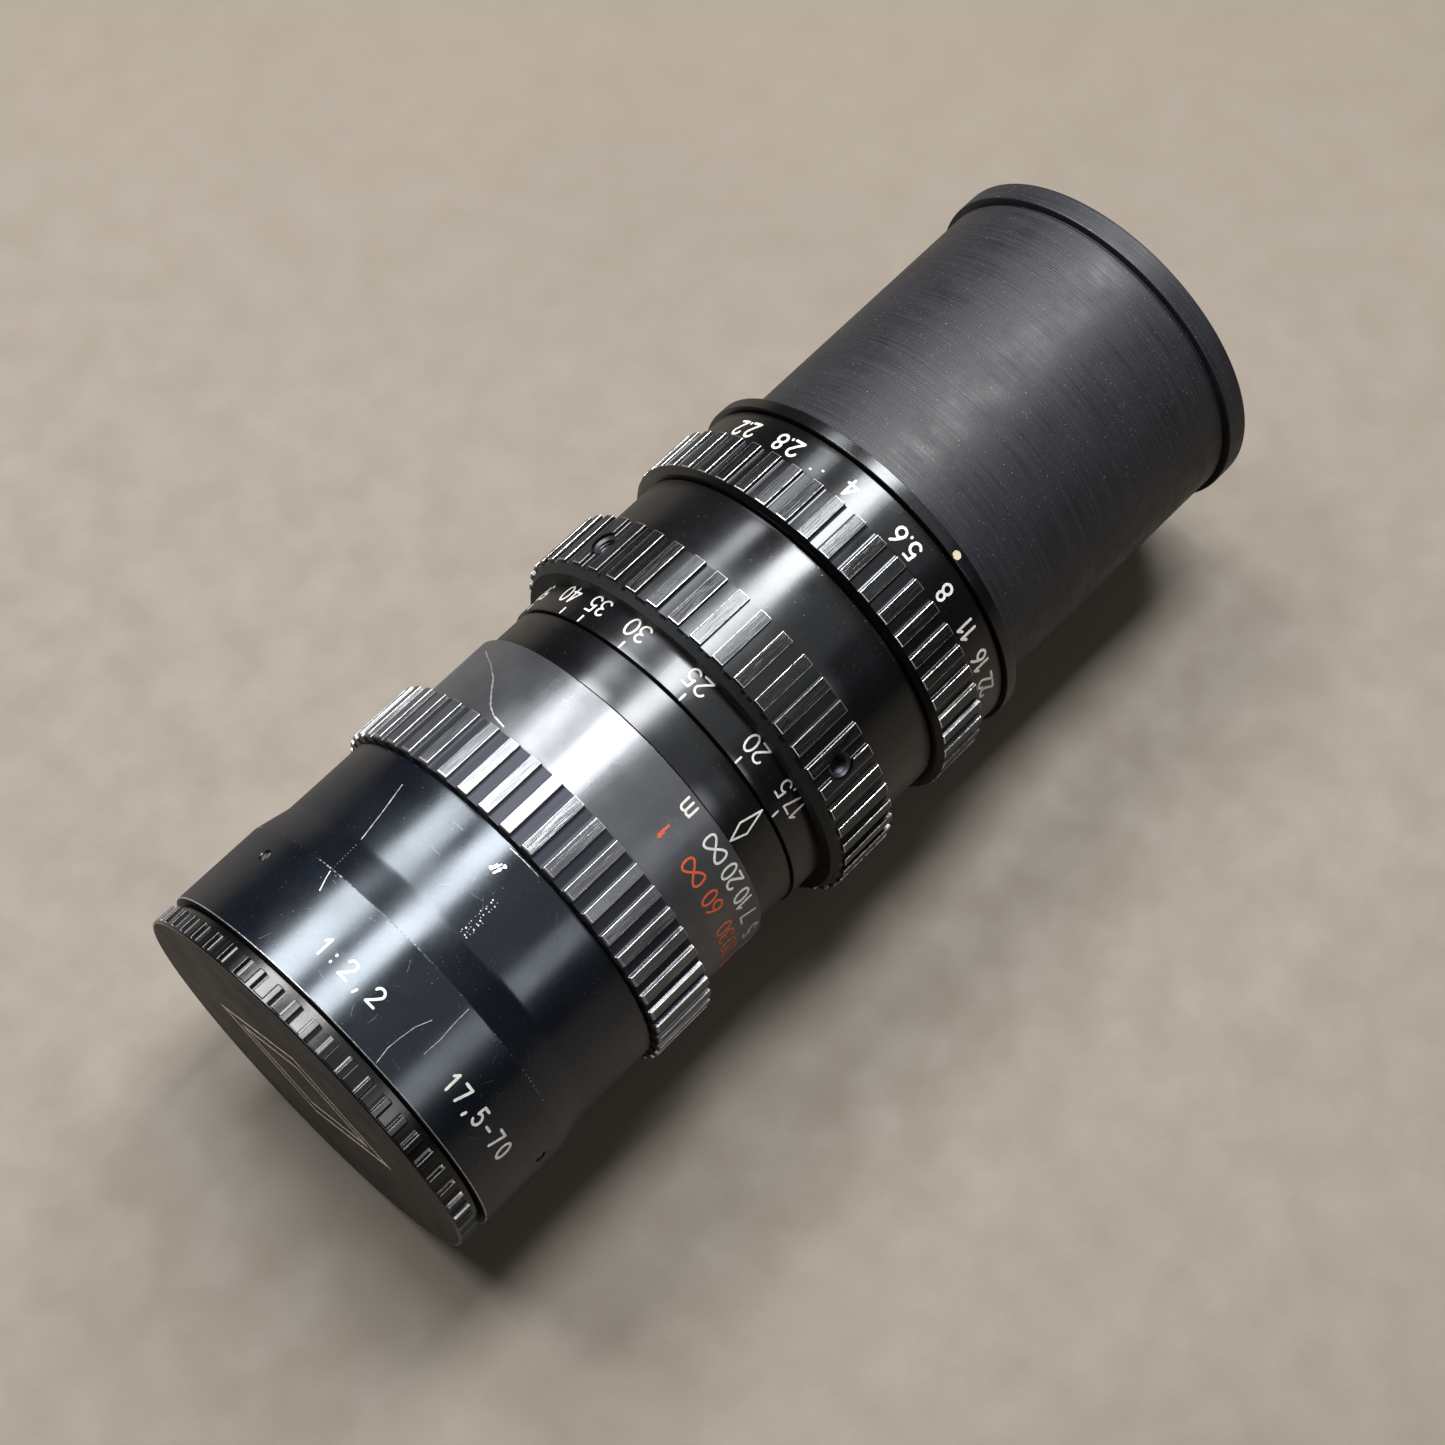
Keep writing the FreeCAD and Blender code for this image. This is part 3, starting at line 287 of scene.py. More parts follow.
# each figure is one unit tall, and has its width and its strokes
FIGURES = {
    "0": (0.6, [arc(0.3, 0.5, 0.28, 0.5, 0, 360, 24)]),
    "1": (0.36, [[(0.04, 0.76), (0.26, 1.0)], [(0.26, 1.0), (0.26, 0.0)]]),
    "2": (0.58, [arc(0.29, 0.73, 0.27, 0.27, 170, -20) + [(0.3, 0.32), (0.02, 0.02)],
                 [(0.02, 0.0), (0.58, 0.0)]]),
    "3": (0.56, [arc(0.27, 0.77, 0.23, 0.23, 150, -90), arc(0.27, 0.27, 0.28, 0.27, 90, -150)]),
    "4": (0.64, [[(0.46, 0.0), (0.46, 1.0)], [(0.46, 1.0), (0.02, 0.28)],
                 [(0.02, 0.28), (0.64, 0.28)]]),
    "5": (0.58, [[(0.52, 1.0), (0.13, 1.0)], [(0.13, 1.0), (0.08, 0.56)],
                 arc(0.28, 0.32, 0.28, 0.32, 135, -150)]),
    "6": (0.6, SIX),
    "7": (0.56, [[(0.0, 1.0), (0.56, 1.0)], [(0.56, 1.0), (0.2, 0.0)]]),
    "8": (0.58, [arc(0.29, 0.76, 0.22, 0.24, 0, 360), arc(0.29, 0.27, 0.27, 0.27, 0, 360)]),
    "9": (0.6, half_turned(SIX, 0.6)),
    ",": (0.16, [[(0.12, 0.06), (0.04, -0.16)]]),
    ".": (0.14, [[(0.07, 0.04), (0.07, 0.08)]]),
    ":": (0.14, [[(0.07, 0.12), (0.07, 0.16)], [(0.07, 0.56), (0.07, 0.6)]]),
    "-": (0.42, [[(0.02, 0.46), (0.4, 0.46)]]),
    "m": (0.8, [[(0.04, 0.0), (0.04, 0.64)], arc(0.22, 0.46, 0.18, 0.2, 180, 0) + [(0.4, 0.0)],
                arc(0.58, 0.46, 0.18, 0.2, 180, 0) + [(0.76, 0.0)]]),
    "inf": (1.7, infinity_sign()),
}
FIGURE_GAP = 0.17  # between figures, as a part of their height
STROKE_STEP = 0.5  # the longest straight stretch of a stroke, so that it follows the curve
STROKE_END = ((1.0, 0.25), (0.75, 0.66))  # a rounded end: (half widths beyond it, width there)
MARK_ROOT = 0.05  # how deep a mark is sunk into the surface
LAYER = 0.0007  # height between strokes that cross, so that no two faces coincide
LAYERS = 12


class Marks:
    """Thin lines of one colour on the round surfaces of one body, gathered into one mesh."""

    def __init__(self, name, body, material, lift=0.02):
        self.name = name
        self.body = body
        self.material = material
        self.lift = lift
        self.points = []
        self.faces = []
        self.strokes = 0

    def line(self, path, radius, width, ragged=0.0):
        """A round-ended line through (station, arc length in mm) points."""
        path = [Vector(point) for point in path]
        samples = [path[0]]
        for start, end in zip(path, path[1:]):
            pieces = max(1, math.ceil((end - start).length / STROKE_STEP))
            samples += [start.lerp(end, (piece + 1) / pieces) for piece in range(pieces)]
        first = (samples[0] - samples[1]).normalized()
        last = (samples[-1] - samples[-2]).normalized()
        half = width / 2
        spots = [(samples[0] + first * half * beyond, share) for beyond, share in STROKE_END]
        spots += [(spot, 1.0) for spot in samples]
        spots += [(samples[-1] + last * half * beyond, share)
                  for beyond, share in reversed(STROKE_END)]
        self.strokes += 1
        top = radius + self.lift + LAYER * (self.strokes % LAYERS)
        base = radius - MARK_ROOT
        start = len(self.points)
        for index, (spot, share) in enumerate(spots):
            before = spots[max(index - 1, 0)][0]
            after = spots[min(index + 1, len(spots) - 1)][0]
            along = (after - before).normalized()
            side = Vector((-along.y, along.x)) * half * share
            if ragged:
                side *= 1 + ragged * random.uniform(-1, 1)
            for corner, reach in ((side, top), (-side, top), (-side, base), (side, base)):
                spot_at = spot + corner
                angle = math.degrees(spot_at.y / radius)
                self.points.append(place(spot_at.x, angle, reach))
        for index in range(len(spots) - 1):
            ring = start + 4 * index
            for corner in range(4):
                following = (corner + 1) % 4
                self.faces.append((ring + corner, ring + following, ring + 4 + following,
                                   ring + 4 + corner))
        end = start + 4 * (len(spots) - 1)
        self.faces.append((start, start + 3, start + 2, start + 1))
        self.faces.append((end, end + 1, end + 2, end + 3))

    def along(self, places, radius, width, ragged=0.0):
        """A line through (station, ring angle in degrees) places."""
        self.line([(station, math.radians(angle) * radius) for station, angle in places],
                  radius, width, ragged)

    def text(self, words, station, angle, radius, height, width, gap=FIGURE_GAP, facing=1):
        """Figures in a row round the lens, centred here, with their tops towards the front.
        Facing -1 turns them over, so that their tops are towards the camera end."""
        parts = [words] if words in FIGURES else list(words)
        total = sum(FIGURES[part][0] for part in parts) + gap * (len(parts) - 1)
        start = -total / 2
        for part in parts:
            wide, strokes = FIGURES[part]
            for stroke in strokes:
                path = [(station - facing * (up - 0.5) * height,
                         math.radians(angle) * radius - facing * (start + across) * height)
                        for across, up in stroke]
                self.line(path, radius, width)
            start += wide + gap

    def dot(self, station, angle, radius, across):
        """A round spot of paint."""
        middle = math.radians(angle) * radius
        self.line([(station, middle - 0.02), (station, middle + 0.02)], radius, across)

    def build(self):
        mesh = bpy.data.meshes.new(self.name)
        mesh.from_pydata(self.points, [], self.faces)
        shape = bmesh.new()
        shape.from_mesh(mesh)
        bmesh.ops.recalc_face_normals(shape, faces=shape.faces)
        shape.to_mesh(mesh)
        shape.free()
        shown(self.name, mesh, self.body, self.material)


# ---- materials -----------------------------------------------------------------------------

NOISE_LOW = 0.3  # nearly all of a noise's values lie between these two
NOISE_HIGH = 0.7
COLOUR_SOCKETS = (6, 7)  # where a Mix node takes two colours
NUMBER_SOCKETS = (2, 3)  # where it takes two numbers
ALONG_AXIS = (30.0, 1.0, 1.0)  # how noise is stretched into streaks
ROUND_AXIS = (1.0, 60.0, 60.0)
# colours of what lies on or shows through a surface
DUST = (0.25, 0.24, 0.22)
SPECKS = (0.4, 0.38, 0.35)
RUBBED_PLASTIC = (0.16, 0.15, 0.14)
UNDER_PAINT = (0.03, 0.03, 0.03)
STAIN = (0.5, 0.4, 0.3)  # what a stain leaves of a metal's red, green and blue
UNEVEN = 0.06  # how far the roughness of a coat wanders
PLASTIC_SPECULAR = 0.35


def node(tree, kind, **values):
    """A shader node. Values named after sockets are set or linked; others are settings."""
    made = tree.nodes.new(kind)
    for name, value in values.items():
        socket = name.replace("_", " ")
        if socket in made.inputs:
            if isinstance(value, bpy.types.NodeSocket):
                tree.links.new(value, made.inputs[socket])
            else:
                made.inputs[socket].default_value = value
        else:
            setattr(made, name, value)
    return made


def maths(tree, operation, first, second):
    made = tree.nodes.new("ShaderNodeMath")
    made.operation = operation
    for socket, value in zip(made.inputs, (first, second)):
        if isinstance(value, bpy.types.NodeSocket):
            tree.links.new(value, socket)
        else:
            socket.default_value = value
    return made.outputs[0]


def plus(tree, first, second):
    return maths(tree, "ADD", first, second)


def times(tree, first, second):
    return maths(tree, "MULTIPLY", first, second)


def grain(tree, size, detail, stretch=(1.0, 1.0, 1.0), roughness=0.5):
    """Noise whose spots are about this many millimetres across, stretched along each axis."""
    where = tree.nodes.new("ShaderNodeTexCoord")
    scaled = node(tree, "ShaderNodeMapping", Vector=where.outputs["Object"],
                  Scale=[1 / (size * MM * part) for part in stretch])
    noise = node(tree, "ShaderNodeTexNoise", Vector=scaled.outputs[0], Scale=1.0, Detail=detail,
                 Roughness=roughness)
    return noise.outputs[0]


def wear_of(tree):
    """The wear stored on the points of the mesh."""
    return node(tree, "ShaderNodeAttribute", attribute_name="wear").outputs["Fac"]


def step_between(tree, value, low, high):
    """0 below low, 1 above high, and a soft step between."""
    made = node(tree, "ShaderNodeMapRange", interpolation_type="SMOOTHSTEP", Value=value,
                From_Min=low, From_Max=high)
    return made.outputs[0]


def spread(tree, value, low, high):
    """Noise turned into a number that wanders between low and high."""
    made = node(tree, "ShaderNodeMapRange", Value=value, From_Min=NOISE_LOW,
                From_Max=NOISE_HIGH, To_Min=low, To_Max=high)
    return made.outputs[0]


def blend(tree, factor, first, second):
    """A colour between two colours."""
    made = tree.nodes.new("ShaderNodeMix")
    made.data_type = "RGBA"
    tree.links.new(factor, made.inputs[0])
    for index, value in zip(COLOUR_SOCKETS, (first, second)):
        if isinstance(value, bpy.types.NodeSocket):
            tree.links.new(value, made.inputs[index])
        else:
            made.inputs[index].default_value = (*value, 1.0)
    return made.outputs[2]


def between(tree, factor, first, second):
    """A number between two numbers."""
    made = tree.nodes.new("ShaderNodeMix")
    tree.links.new(factor, made.inputs[0])
    for index, value in zip(NUMBER_SOCKETS, (first, second)):
        if isinstance(value, bpy.types.NodeSocket):
            tree.links.new(value, made.inputs[index])
        else:
            made.inputs[index].default_value = value
    return made.outputs[0]


def new_material(name):
    material = bpy.data.materials.new(name)
    material.use_nodes = True
    tree = material.node_tree
    shader = tree.nodes["Principled BSDF"]
    return material, tree, shader


def wire(tree, shader, colour, roughness, metallic=0.0, height=None, depth=0.0):
    """Links what varies over the surface to the shader; depth of the relief in millimetres."""
    tree.links.new(colour, shader.inputs["Base Color"])
    tree.links.new(roughness, shader.inputs["Roughness"])
    if isinstance(metallic, bpy.types.NodeSocket):
        tree.links.new(metallic, shader.inputs["Metallic"])
    else:
        shader.inputs["Metallic"].default_value = metallic
    if height is not None:
        bump = node(tree, "ShaderNodeBump", Height=height, Distance=depth * MM, Strength=1.0)
        tree.links.new(bump.outputs[0], shader.inputs["Normal"])


def worn_coat(name, coat, coat_rough, edge, bare=(0.62, 0.62, 0.63), coat_metal=0.0,
              rubbed=0.0, bare_rough=0.32, tint=(1.0, 1.0, 1.0), painted_recess_shade=None):
    """A coated metal: turning marks under the coat, dull patches, bare metal on the edges,
    streaks along the axis where fingers have rubbed the lands of a knurl, and a dull unrubbed
    coat in the recesses, where the wear is below 0. A given recess colour is painted shade:
    it darkens the recesses beyond the coat's own colour."""
    material, tree, shader = new_material(name)
    wear = wear_of(tree)
    fine = grain(tree, 0.5, 6.0, roughness=0.65)
    broad = grain(tree, 6.0, 3.0)
    nicks = plus(tree, times(tree, fine, 0.9), times(tree, broad, 0.5))
    bare_part = step_between(tree, plus(tree, wear, nicks), 2.2 - edge, 2.45 - edge)
    streaks = step_between(tree, grain(tree, 0.16, 4.0, ALONG_AXIS), 0.45, 0.75)
    land = step_between(tree, wear, 0.02, 0.1)
    handled = times(tree, streaks, times(tree, land, rubbed))
    bare_part = maths(tree, "MAXIMUM", bare_part, handled)
    colour = blend(tree, spread(tree, broad, 0.0, 1.0), coat, [part * 1.35 for part in coat])
    dusted = step_between(tree, grain(tree, 0.22, 1.0), 0.74, 0.8)
    colour = blend(tree, times(tree, dusted, 0.3), colour, DUST)
    patches = spread(tree, grain(tree, 14.0, 5.0), coat_rough - UNEVEN, coat_rough + UNEVEN)
    rough = plus(tree, patches, times(tree, fine, 0.06))
    # painted shade: where the wear is below 0 the colour turns to the recess colour, darker than
    # the coat, when one is given
    open_part = step_between(tree, wear, -0.9, -0.2)
    colour = blend(tree, open_part, painted_recess_shade or coat, colour)
    rough = between(tree, open_part, 0.5, rough)
    glancing = node(tree, "ShaderNodeLayerWeight", Blend=0.5).outputs["Facing"]
    rough = plus(tree, rough, times(tree, maths(tree, "POWER", glancing, 2.0), 0.35))
    lines = grain(tree, 0.12, 2.0, (1.0, 90.0, 90.0))
    height = plus(tree, times(tree, lines, 0.25), times(tree, fine, 0.3))
    height = plus(tree, height, times(tree, streaks, land))
    wire(tree, shader, blend(tree, bare_part, colour, bare),
         between(tree, bare_part, rough, bare_rough), between(tree, bare_part, coat_metal, 1.0),
         height, 0.01)
    shader.inputs["Specular Tint"].default_value = (*tint, 1.0)
    return material


def plastic(name, colour, rough, grain_size, depth, dust, turned=0.0):
    """A moulded or printed plastic with fine grain, faint dust, rubbed edges and, if it is
    turned, streaks that run round it."""
    material, tree, shader = new_material(name)
    fine = grain(tree, grain_size, 5.0, roughness=0.6)
    broad = grain(tree, 12.0, 4.0)
    streaks = spread(tree, grain(tree, 0.3, 3.0, ROUND_AXIS), 0.0, turned)
    specks = step_between(tree, grain(tree, 0.26, 1.0), 0.72, 0.78)
    paler = times(tree, step_between(tree, plus(tree, wear_of(tree), fine), 1.1, 1.7), 0.3)
    base = blend(tree, spread(tree, broad, 0.0, 1.0), colour, [part * 1.4 for part in colour])
    base = blend(tree, streaks, base, [part * 3 for part in colour])
    base = blend(tree, paler, base, RUBBED_PLASTIC)
    base = blend(tree, times(tree, specks, dust), base, SPECKS)
    uneven = spread(tree, grain(tree, 5.0, 6.0), rough - 0.06, rough + 0.08)
    wire(tree, shader, base, plus(tree, uneven, times(tree, streaks, 0.15)), 0.0,
         plus(tree, fine, streaks), depth)
    shader.inputs["Specular IOR Level"].default_value = PLASTIC_SPECULAR
    return material


def machined(name, colour, rough, metal=1.0, stained=0.2, lines=0.6):
    """A turned metal with fine circular tool marks and faint stains."""
    material, tree, shader = new_material(name)
    marks = grain(tree, 0.1, 3.0, ROUND_AXIS)
    broad = grain(tree, 7.0, 5.0)
    dirt = times(tree, step_between(tree, broad, 0.48, 0.72), stained)
    dark = [part * shade for part, shade in zip(colour, STAIN)]
    uneven = spread(tree, marks, rough - 0.05, rough + 0.05)
    wire(tree, shader, blend(tree, dirt, colour, dark), plus(tree, uneven, times(tree, dirt, 0.5)),
         metal, times(tree, marks, lines), 0.006)
    return material


def coated_glass():
    """Clear optical glass with a faint blue coating and a trace of dust."""
    material, tree, shader = new_material("coated_glass")
    dust = step_between(tree, grain(tree, 0.35, 2.0), 0.7, 0.85)
    edge = node(tree, "ShaderNodeLayerWeight", Blend=0.35).outputs["Facing"]
    tint = blend(tree, edge, (0.93, 0.96, 1.0), (0.55, 0.6, 0.95))
    wire(tree, shader, tint, plus(tree, 0.01, times(tree, dust, 0.08)))
    shader.inputs["Transmission Weight"].default_value = 1.0
    shader.inputs["IOR"].default_value = 1.6
    shader.inputs["Coat Weight"].default_value = 0.6
    shader.inputs["Coat Roughness"].default_value = 0.02
    return material


def paint(name, colour, rough, chipped):
    """Paint in the engraved figures: a little uneven, with worn spots that show the coat."""
    material, tree, shader = new_material(name)
    broad = grain(tree, 1.6, 4.0)
    fine = grain(tree, 0.25, 4.0)
    gone = times(tree, step_between(tree, fine, 0.56, 0.72), chipped)
    shade = blend(tree, spread(tree, broad, 0.0, 1.0), colour, [part * 0.72 for part in colour])
    wire(tree, shader, blend(tree, gone, shade, UNDER_PAINT),
         spread(tree, fine, rough - 0.08, rough + 0.08), 0.0, fine, 0.01)
    return material


MATERIALS = {
    "cap_plastic": plastic("cap_plastic", (0.0022, 0.0022, 0.0024), 0.2, 0.6, 0.002, 0.1),
    "cap_face": plastic("cap_face", (0.03, 0.026, 0.023), 0.6, 0.12, 0.004, 0.12),
    "printed_plastic": plastic("printed_plastic", (0.004, 0.0042, 0.0056), 0.44, 0.35, 0.02,
                               dust=0.3, turned=0.8),
    "black_anodised": worn_coat("black_anodised", (0.0012, 0.0018, 0.0036), 0.17, edge=0.7,
                                tint=(0.8, 0.9, 1.0)),
    "ring_anodised": worn_coat("ring_anodised", (0.0012, 0.0012, 0.0015), 0.18, edge=0.82,
                               rubbed=0.03, tint=(0.92, 0.96, 1.0)),
    # its flute floors take a painted shade, much darker than the grey coat
    "grey_anodised": worn_coat("grey_anodised", (0.085, 0.088, 0.095), 0.26, coat_metal=0.85,
                               edge=0.85, rubbed=0.45, bare=(0.38, 0.38, 0.39), bare_rough=0.4,
                               painted_recess_shade=(0.02, 0.022, 0.028)),
    "raw_alloy": machined("raw_alloy", (0.62, 0.62, 0.63), 0.38),
    "blackened_alloy": machined("blackened_alloy", (0.02, 0.02, 0.021), 0.55, metal=0.0),
    "brass": machined("brass", (0.72, 0.5, 0.2), 0.3, stained=0.45),
    "steel": machined("steel", (0.42, 0.42, 0.43), 0.34, stained=0.4),
    "blade_steel": machined("blade_steel", (0.05, 0.052, 0.06), 0.42, metal=0.8),
    "mount_chrome": machined("mount_chrome", (0.75, 0.74, 0.72), 0.16, stained=0.15, lines=0.3),
    "coated_glass": coated_glass(),
    "white_paint": paint("white_paint", (0.58, 0.57, 0.53), 0.55, 0.3),
    "orange_paint": paint("orange_paint", (0.5, 0.075, 0.02), 0.55, 0.35),
    "ivory_paint": paint("ivory_paint", (0.5, 0.44, 0.3), 0.4, 0.2),
    "cap_print": paint("cap_print", (0.9, 0.82, 0.7), 0.5, 0.15),
    "scratch": machined("scratch", (0.42, 0.42, 0.43), 0.45, stained=0.3),
    "faint_scratch": machined("faint_scratch", (0.1, 0.105, 0.11), 0.4, stained=0.3),
}
SLOT_OF = {name: name for name in MATERIALS}
SLOT_OF.update(ring_anodised="black_anodised", white_paint="black_anodised",
               orange_paint="grey_anodised", ivory_paint="black_anodised",
               scratch="black_anodised", faint_scratch="black_anodised", cap_face="cap_plastic",
               cap_print="cap_plastic")


# ---- the pieces that show ------------------------------------------------------------------

# An outline's corners are (station, radius, rounding, wear), and the wear is 0 if left out.

CAP_LOZENGES = ((18, 12.5), (13.5, 8.6))  # half the length and half the width of each
LOZENGE_LINE = 0.65
SET_SCREW_STATION = 15.85
SET_SCREW_ANGLES = (50.5, 179.5, 295)
SET_SCREW_END = 31.7  # how far from the lens axis the screws reach
SCREW_SLOT = (3, 0.3, 0.7)  # length, width and height of the shape that cuts the slot
SCREW_SLOT_LEAN = 35  # degrees between the slot and the lens axis
LEVER_STATION = 83.1
LEVER_ANGLES = (144.5, 52.1)
LEVER_THREAD_TURNS = 9
LEVER_THREAD_PITCH = 0.5
# the knurl of the focusing, zoom and aperture rings
FLUTE_COUNT = 48
FLUTE_WIDTH = 2.25
LAND_ROUNDING = 0.07


def front_cap():
    corners = [
        (0, 0, 0), (0, 31.8, 0.3, 0.4), (3.4, 31.8, 0.15, 0.3), (3.4, 30.6, 0), (4.5, 30.6, 0.1),
        (4.5, 29.4, 0.05), (8.6, 29.4, 0.25), (8.6, 27.5, 0.2), (2.4, 27.5, 0.3), (2.4, 0, 0),
    ]
    windows = {"start": 0.55, "end": 3.41, "floor": 31}
    columns = fluted_columns(31.8, 2.6, 56, 6.2, 0.08)
    filter_thread = {"start": 4.6, "end": 8.5, "crest": 29.4, "pitch": 0.75, "depth": -0.2}
    lathe("cap_shell", corners, "front_cover", "front_cap", "cap_plastic", columns,
          flutes=windows, thread=filter_thread, longest=0.3)
    face = [(-0.02, 0, 0), (-0.02, 31.4, 0.02), (0.3, 31.4, 0), (0.3, 0, 0)]
    lathe("cap_face", face, "front_cover", None, "cap_face")


def cap_outline():
    """Two plain lozenge outlines, one inside the other, printed on the face of the front cap.
    Each is a frame of four rings of corners: outer and inner, in front and behind."""
    mesh = bpy.data.meshes.new("cap_outline")
    points = []
    faces = []
    for long_half, short_half in CAP_LOZENGES:
        start = len(points)
        for station in (-0.04, 0.1):
            for inset in (0.0, LOZENGE_LINE):
                across = long_half - inset * 2
                up = short_half - inset
                for side, lift in ((across, 0), (0, up), (-across, 0), (0, -up)):
                    points.append(Vector((station - HALF_LENGTH, side, AXIS_HEIGHT + lift)) * MM)
        for corner in range(4):
            beside = (corner + 1) % 4
            for first, second in ((0, 4), (4, 12), (12, 8), (8, 0)):
                faces.append((start + first + corner, start + first + beside,
                              start + second + beside, start + second + corner))
    mesh.from_pydata(points, [], faces)
    tidy(mesh)
    shown("cap_outline", mesh, "front_cover", "cap_print")


def front_barrel():
    corners = [
        (9.8, 29.5, 0), (4.8, 29.5, 0.2), (4.8, 32, 0.15, 1), (19.75, 32, 0.1, 0.75),
        (25.3, 30.9, 0.4), (39.2, 30.9, 0.15), (39.2, 26.5, 0), (61, 26.5, 0.2), (61, 25, 0.2),
        (37.2, 25, 0), (37.2, 28.54, 0), (9.8, 28.54, 0),
    ]
    filter_thread = {"start": 5.1, "end": 9.7, "crest": 29.5, "pitch": 0.75, "depth": 0.25}
    shell = lathe("barrel_shell", corners, "front_carriage", "front_barrel", "black_anodised",
                  thread=filter_thread, longest=0.4)
    hole = ((30, 0.95, -1), (31.85, 0.95, -1), (31.86, 0.96, 0.9), (32.2, 1.3, 0.9))
    for angle in SET_SCREW_ANGLES:
        carve(shell, radial_piece("screw_hole", hole, SET_SCREW_STATION, angle))


def slot_cutter(angle):
    """The shape of a screwdriver slot, across the end of the set screw at this ring angle."""
    mesh = bpy.data.meshes.new("slot")
    shape = bmesh.new()
    bmesh.ops.create_cube(shape, size=1)
    turn = Matrix.Rotation(math.radians(angle - 90), 4, "X")
    lean = Matrix.Rotation(math.radians(SCREW_SLOT_LEAN), 4, "Z")
    size = Matrix.Diagonal((*[part * MM for part in SCREW_SLOT], 1))
    spot = Matrix.Translation(place(SET_SCREW_STATION, angle, SET_SCREW_END))
    bmesh.ops.transform(shape, matrix=spot @ turn @ lean @ size, verts=shape.verts)
    shape.to_mesh(mesh)
    shape.free()
    return mesh


def set_screws():
    """Slotted screws, a little below the surface, that hold the front cell."""
    profile = ((28.6, 0.9, 0), (31.6, 0.9, 0), (SET_SCREW_END, 0.8, 0))
    for word, angle in zip(("right", "left", "lower"), SET_SCREW_ANGLES):
        mesh = radial_piece(f"slotted_screw_{word}", profile, SET_SCREW_STATION, angle)
        thing = shown(f"slotted_screw_{word}", mesh, "front_carriage", "steel",
                      f"front_set_screw_{word}")
        carve(thing, slot_cutter(angle))


def focus_ring():
    corners = [
        (39.55, 26.6, 0), (39.55, 32.5, 0.4, 0.9), (50.1, 32.5, 0.12, 1), (50.1, 29.8, 0.05),
        (63.65, 29.8, 0.12, 0.6), (63.65, 28.4, 0.1), (50.1, 28.4, 0), (50.1, 26.6, 0),
    ]
    # flute wear -1 gives the flute floors the grey coat's painted recess shade
    columns = fluted_columns(32.5, FLUTE_WIDTH, FLUTE_COUNT, 2.75, LAND_ROUNDING, worn=0.35,
                             flute_wear=-1.0)
    lathe("focus_shell", corners, "focusing_ring", "focus_ring", "grey_anodised", columns,
          flutes={"start": 39.5, "end": 50.15, "floor": 31.8}, longest=KNURL_ROW)


def index_barrel():
    corners = [
        (50.4, 26.6, 0), (50.4, 28.3, 0), (63.95, 28.3, 0), (63.95, 28.9, 0.15),
        (70.95, 28.9, 0.15), (70.95, 27, 0), (62.2, 27, 0), (62.2, 26.6, 0),
    ]
    lathe("index_shell", corners, "lens_body", "index_barrel", "ring_anodised")


def zoom_ring():
    corners = [
        (71.25, 27.7, 0), (71.25, 29.35, 0.15), (76.7, 29.35, 0), (76.8, 29.35, 0, -1),
        (76.8, 31.6, 0, -1), (78.2, 32.6, 0, -1), (78.2, 33.3, 0.12, 1), (88.45, 33.3, 0.12, 1),
        (88.45, 27.7, 0),
    ]
    columns = fluted_columns(33.3, FLUTE_WIDTH, FLUTE_COUNT, 1.05, LAND_ROUNDING)
    shell = lathe("zoom_shell", corners, "zoom_unit", "zoom_ring", "ring_anodised", columns,
                  flutes={"start": 78.1, "end": 88.5, "floor": 32.6}, longest=KNURL_ROW)
    hole = ((26, 2.1, 0), (35, 2.1, 0))
    for angle in LEVER_ANGLES:
        carve(shell, radial_piece("lever_hole", hole, LEVER_STATION, angle))


def lever_bushes():
    """Threaded bushes of dark steel in the zoom ring's two lever holes; the dark steel is painted
    shade for the inside of the holes.
    """
    section = [(28, 2.08, 0), (32.55, 2.08, 0), (32.8, 1.95, 0), (32.8, 1.85, 0), (32.6, 1.65, 0)]
    for turn in range(LEVER_THREAD_TURNS):
        depth = LEVER_THREAD_PITCH * turn
        section += [(32.45 - depth, 1.45, 0), (32.3 - depth, 1.45, 0), (32.15 - depth, 1.65, 0)]
    for word, angle in zip(("left", "right"), LEVER_ANGLES):
        mesh = radial_piece(f"lever_bush_{word}", section, LEVER_STATION, angle, hollow=True)
        # the dark blade steel is painted shade: it stands in for the shade inside the lever holes
        shown(f"lever_bush_{word}", mesh, "zoom_unit", "blade_steel")


def main_barrel():
    corners = [
        (62.4, 26.1, 0), (62.4, 26.96, 0), (71.2, 26.96, 0), (71.2, 27.6, 0), (88.8, 27.6, 0),
        (88.8, 30.4, 0.15), (100.4, 30.4, 0.15), (100.4, 28, 0), (118.3, 28, 0), (118.3, 26.1, 0),
    ]
    lathe("main_shell", corners, "lens_body", "main_barrel", "ring_anodised")


def aperture_ring():
    corners = [
        (100.7, 28.1, 0), (100.7, 31.2, 0.2), (101.3, 32.55, 0.12, 1),
        (109.45, 32.55, 0.12, 1), (109.45, 31, 0.05), (116, 31, 0.2), (116, 28.1, 0),
    ]
    columns = fluted_columns(32.55, FLUTE_WIDTH, FLUTE_COUNT, 7.2, LAND_ROUNDING)
    lathe("aperture_shell", corners, "aperture_unit", "aperture_ring", "ring_anodised", columns,
          flutes={"start": 101.25, "end": 109.5, "floor": 31.85}, longest=KNURL_ROW)


def rear_index_ring():
    corners = [(116.3, 28.04, 0), (116.3, 31.85, 0.1), (118.3, 31.85, 0.12, 0.5), (118.3, 28.04, 0)]
    lathe("rear_index_shell", corners, "lens_body", "rear_index_ring", "ring_anodised")


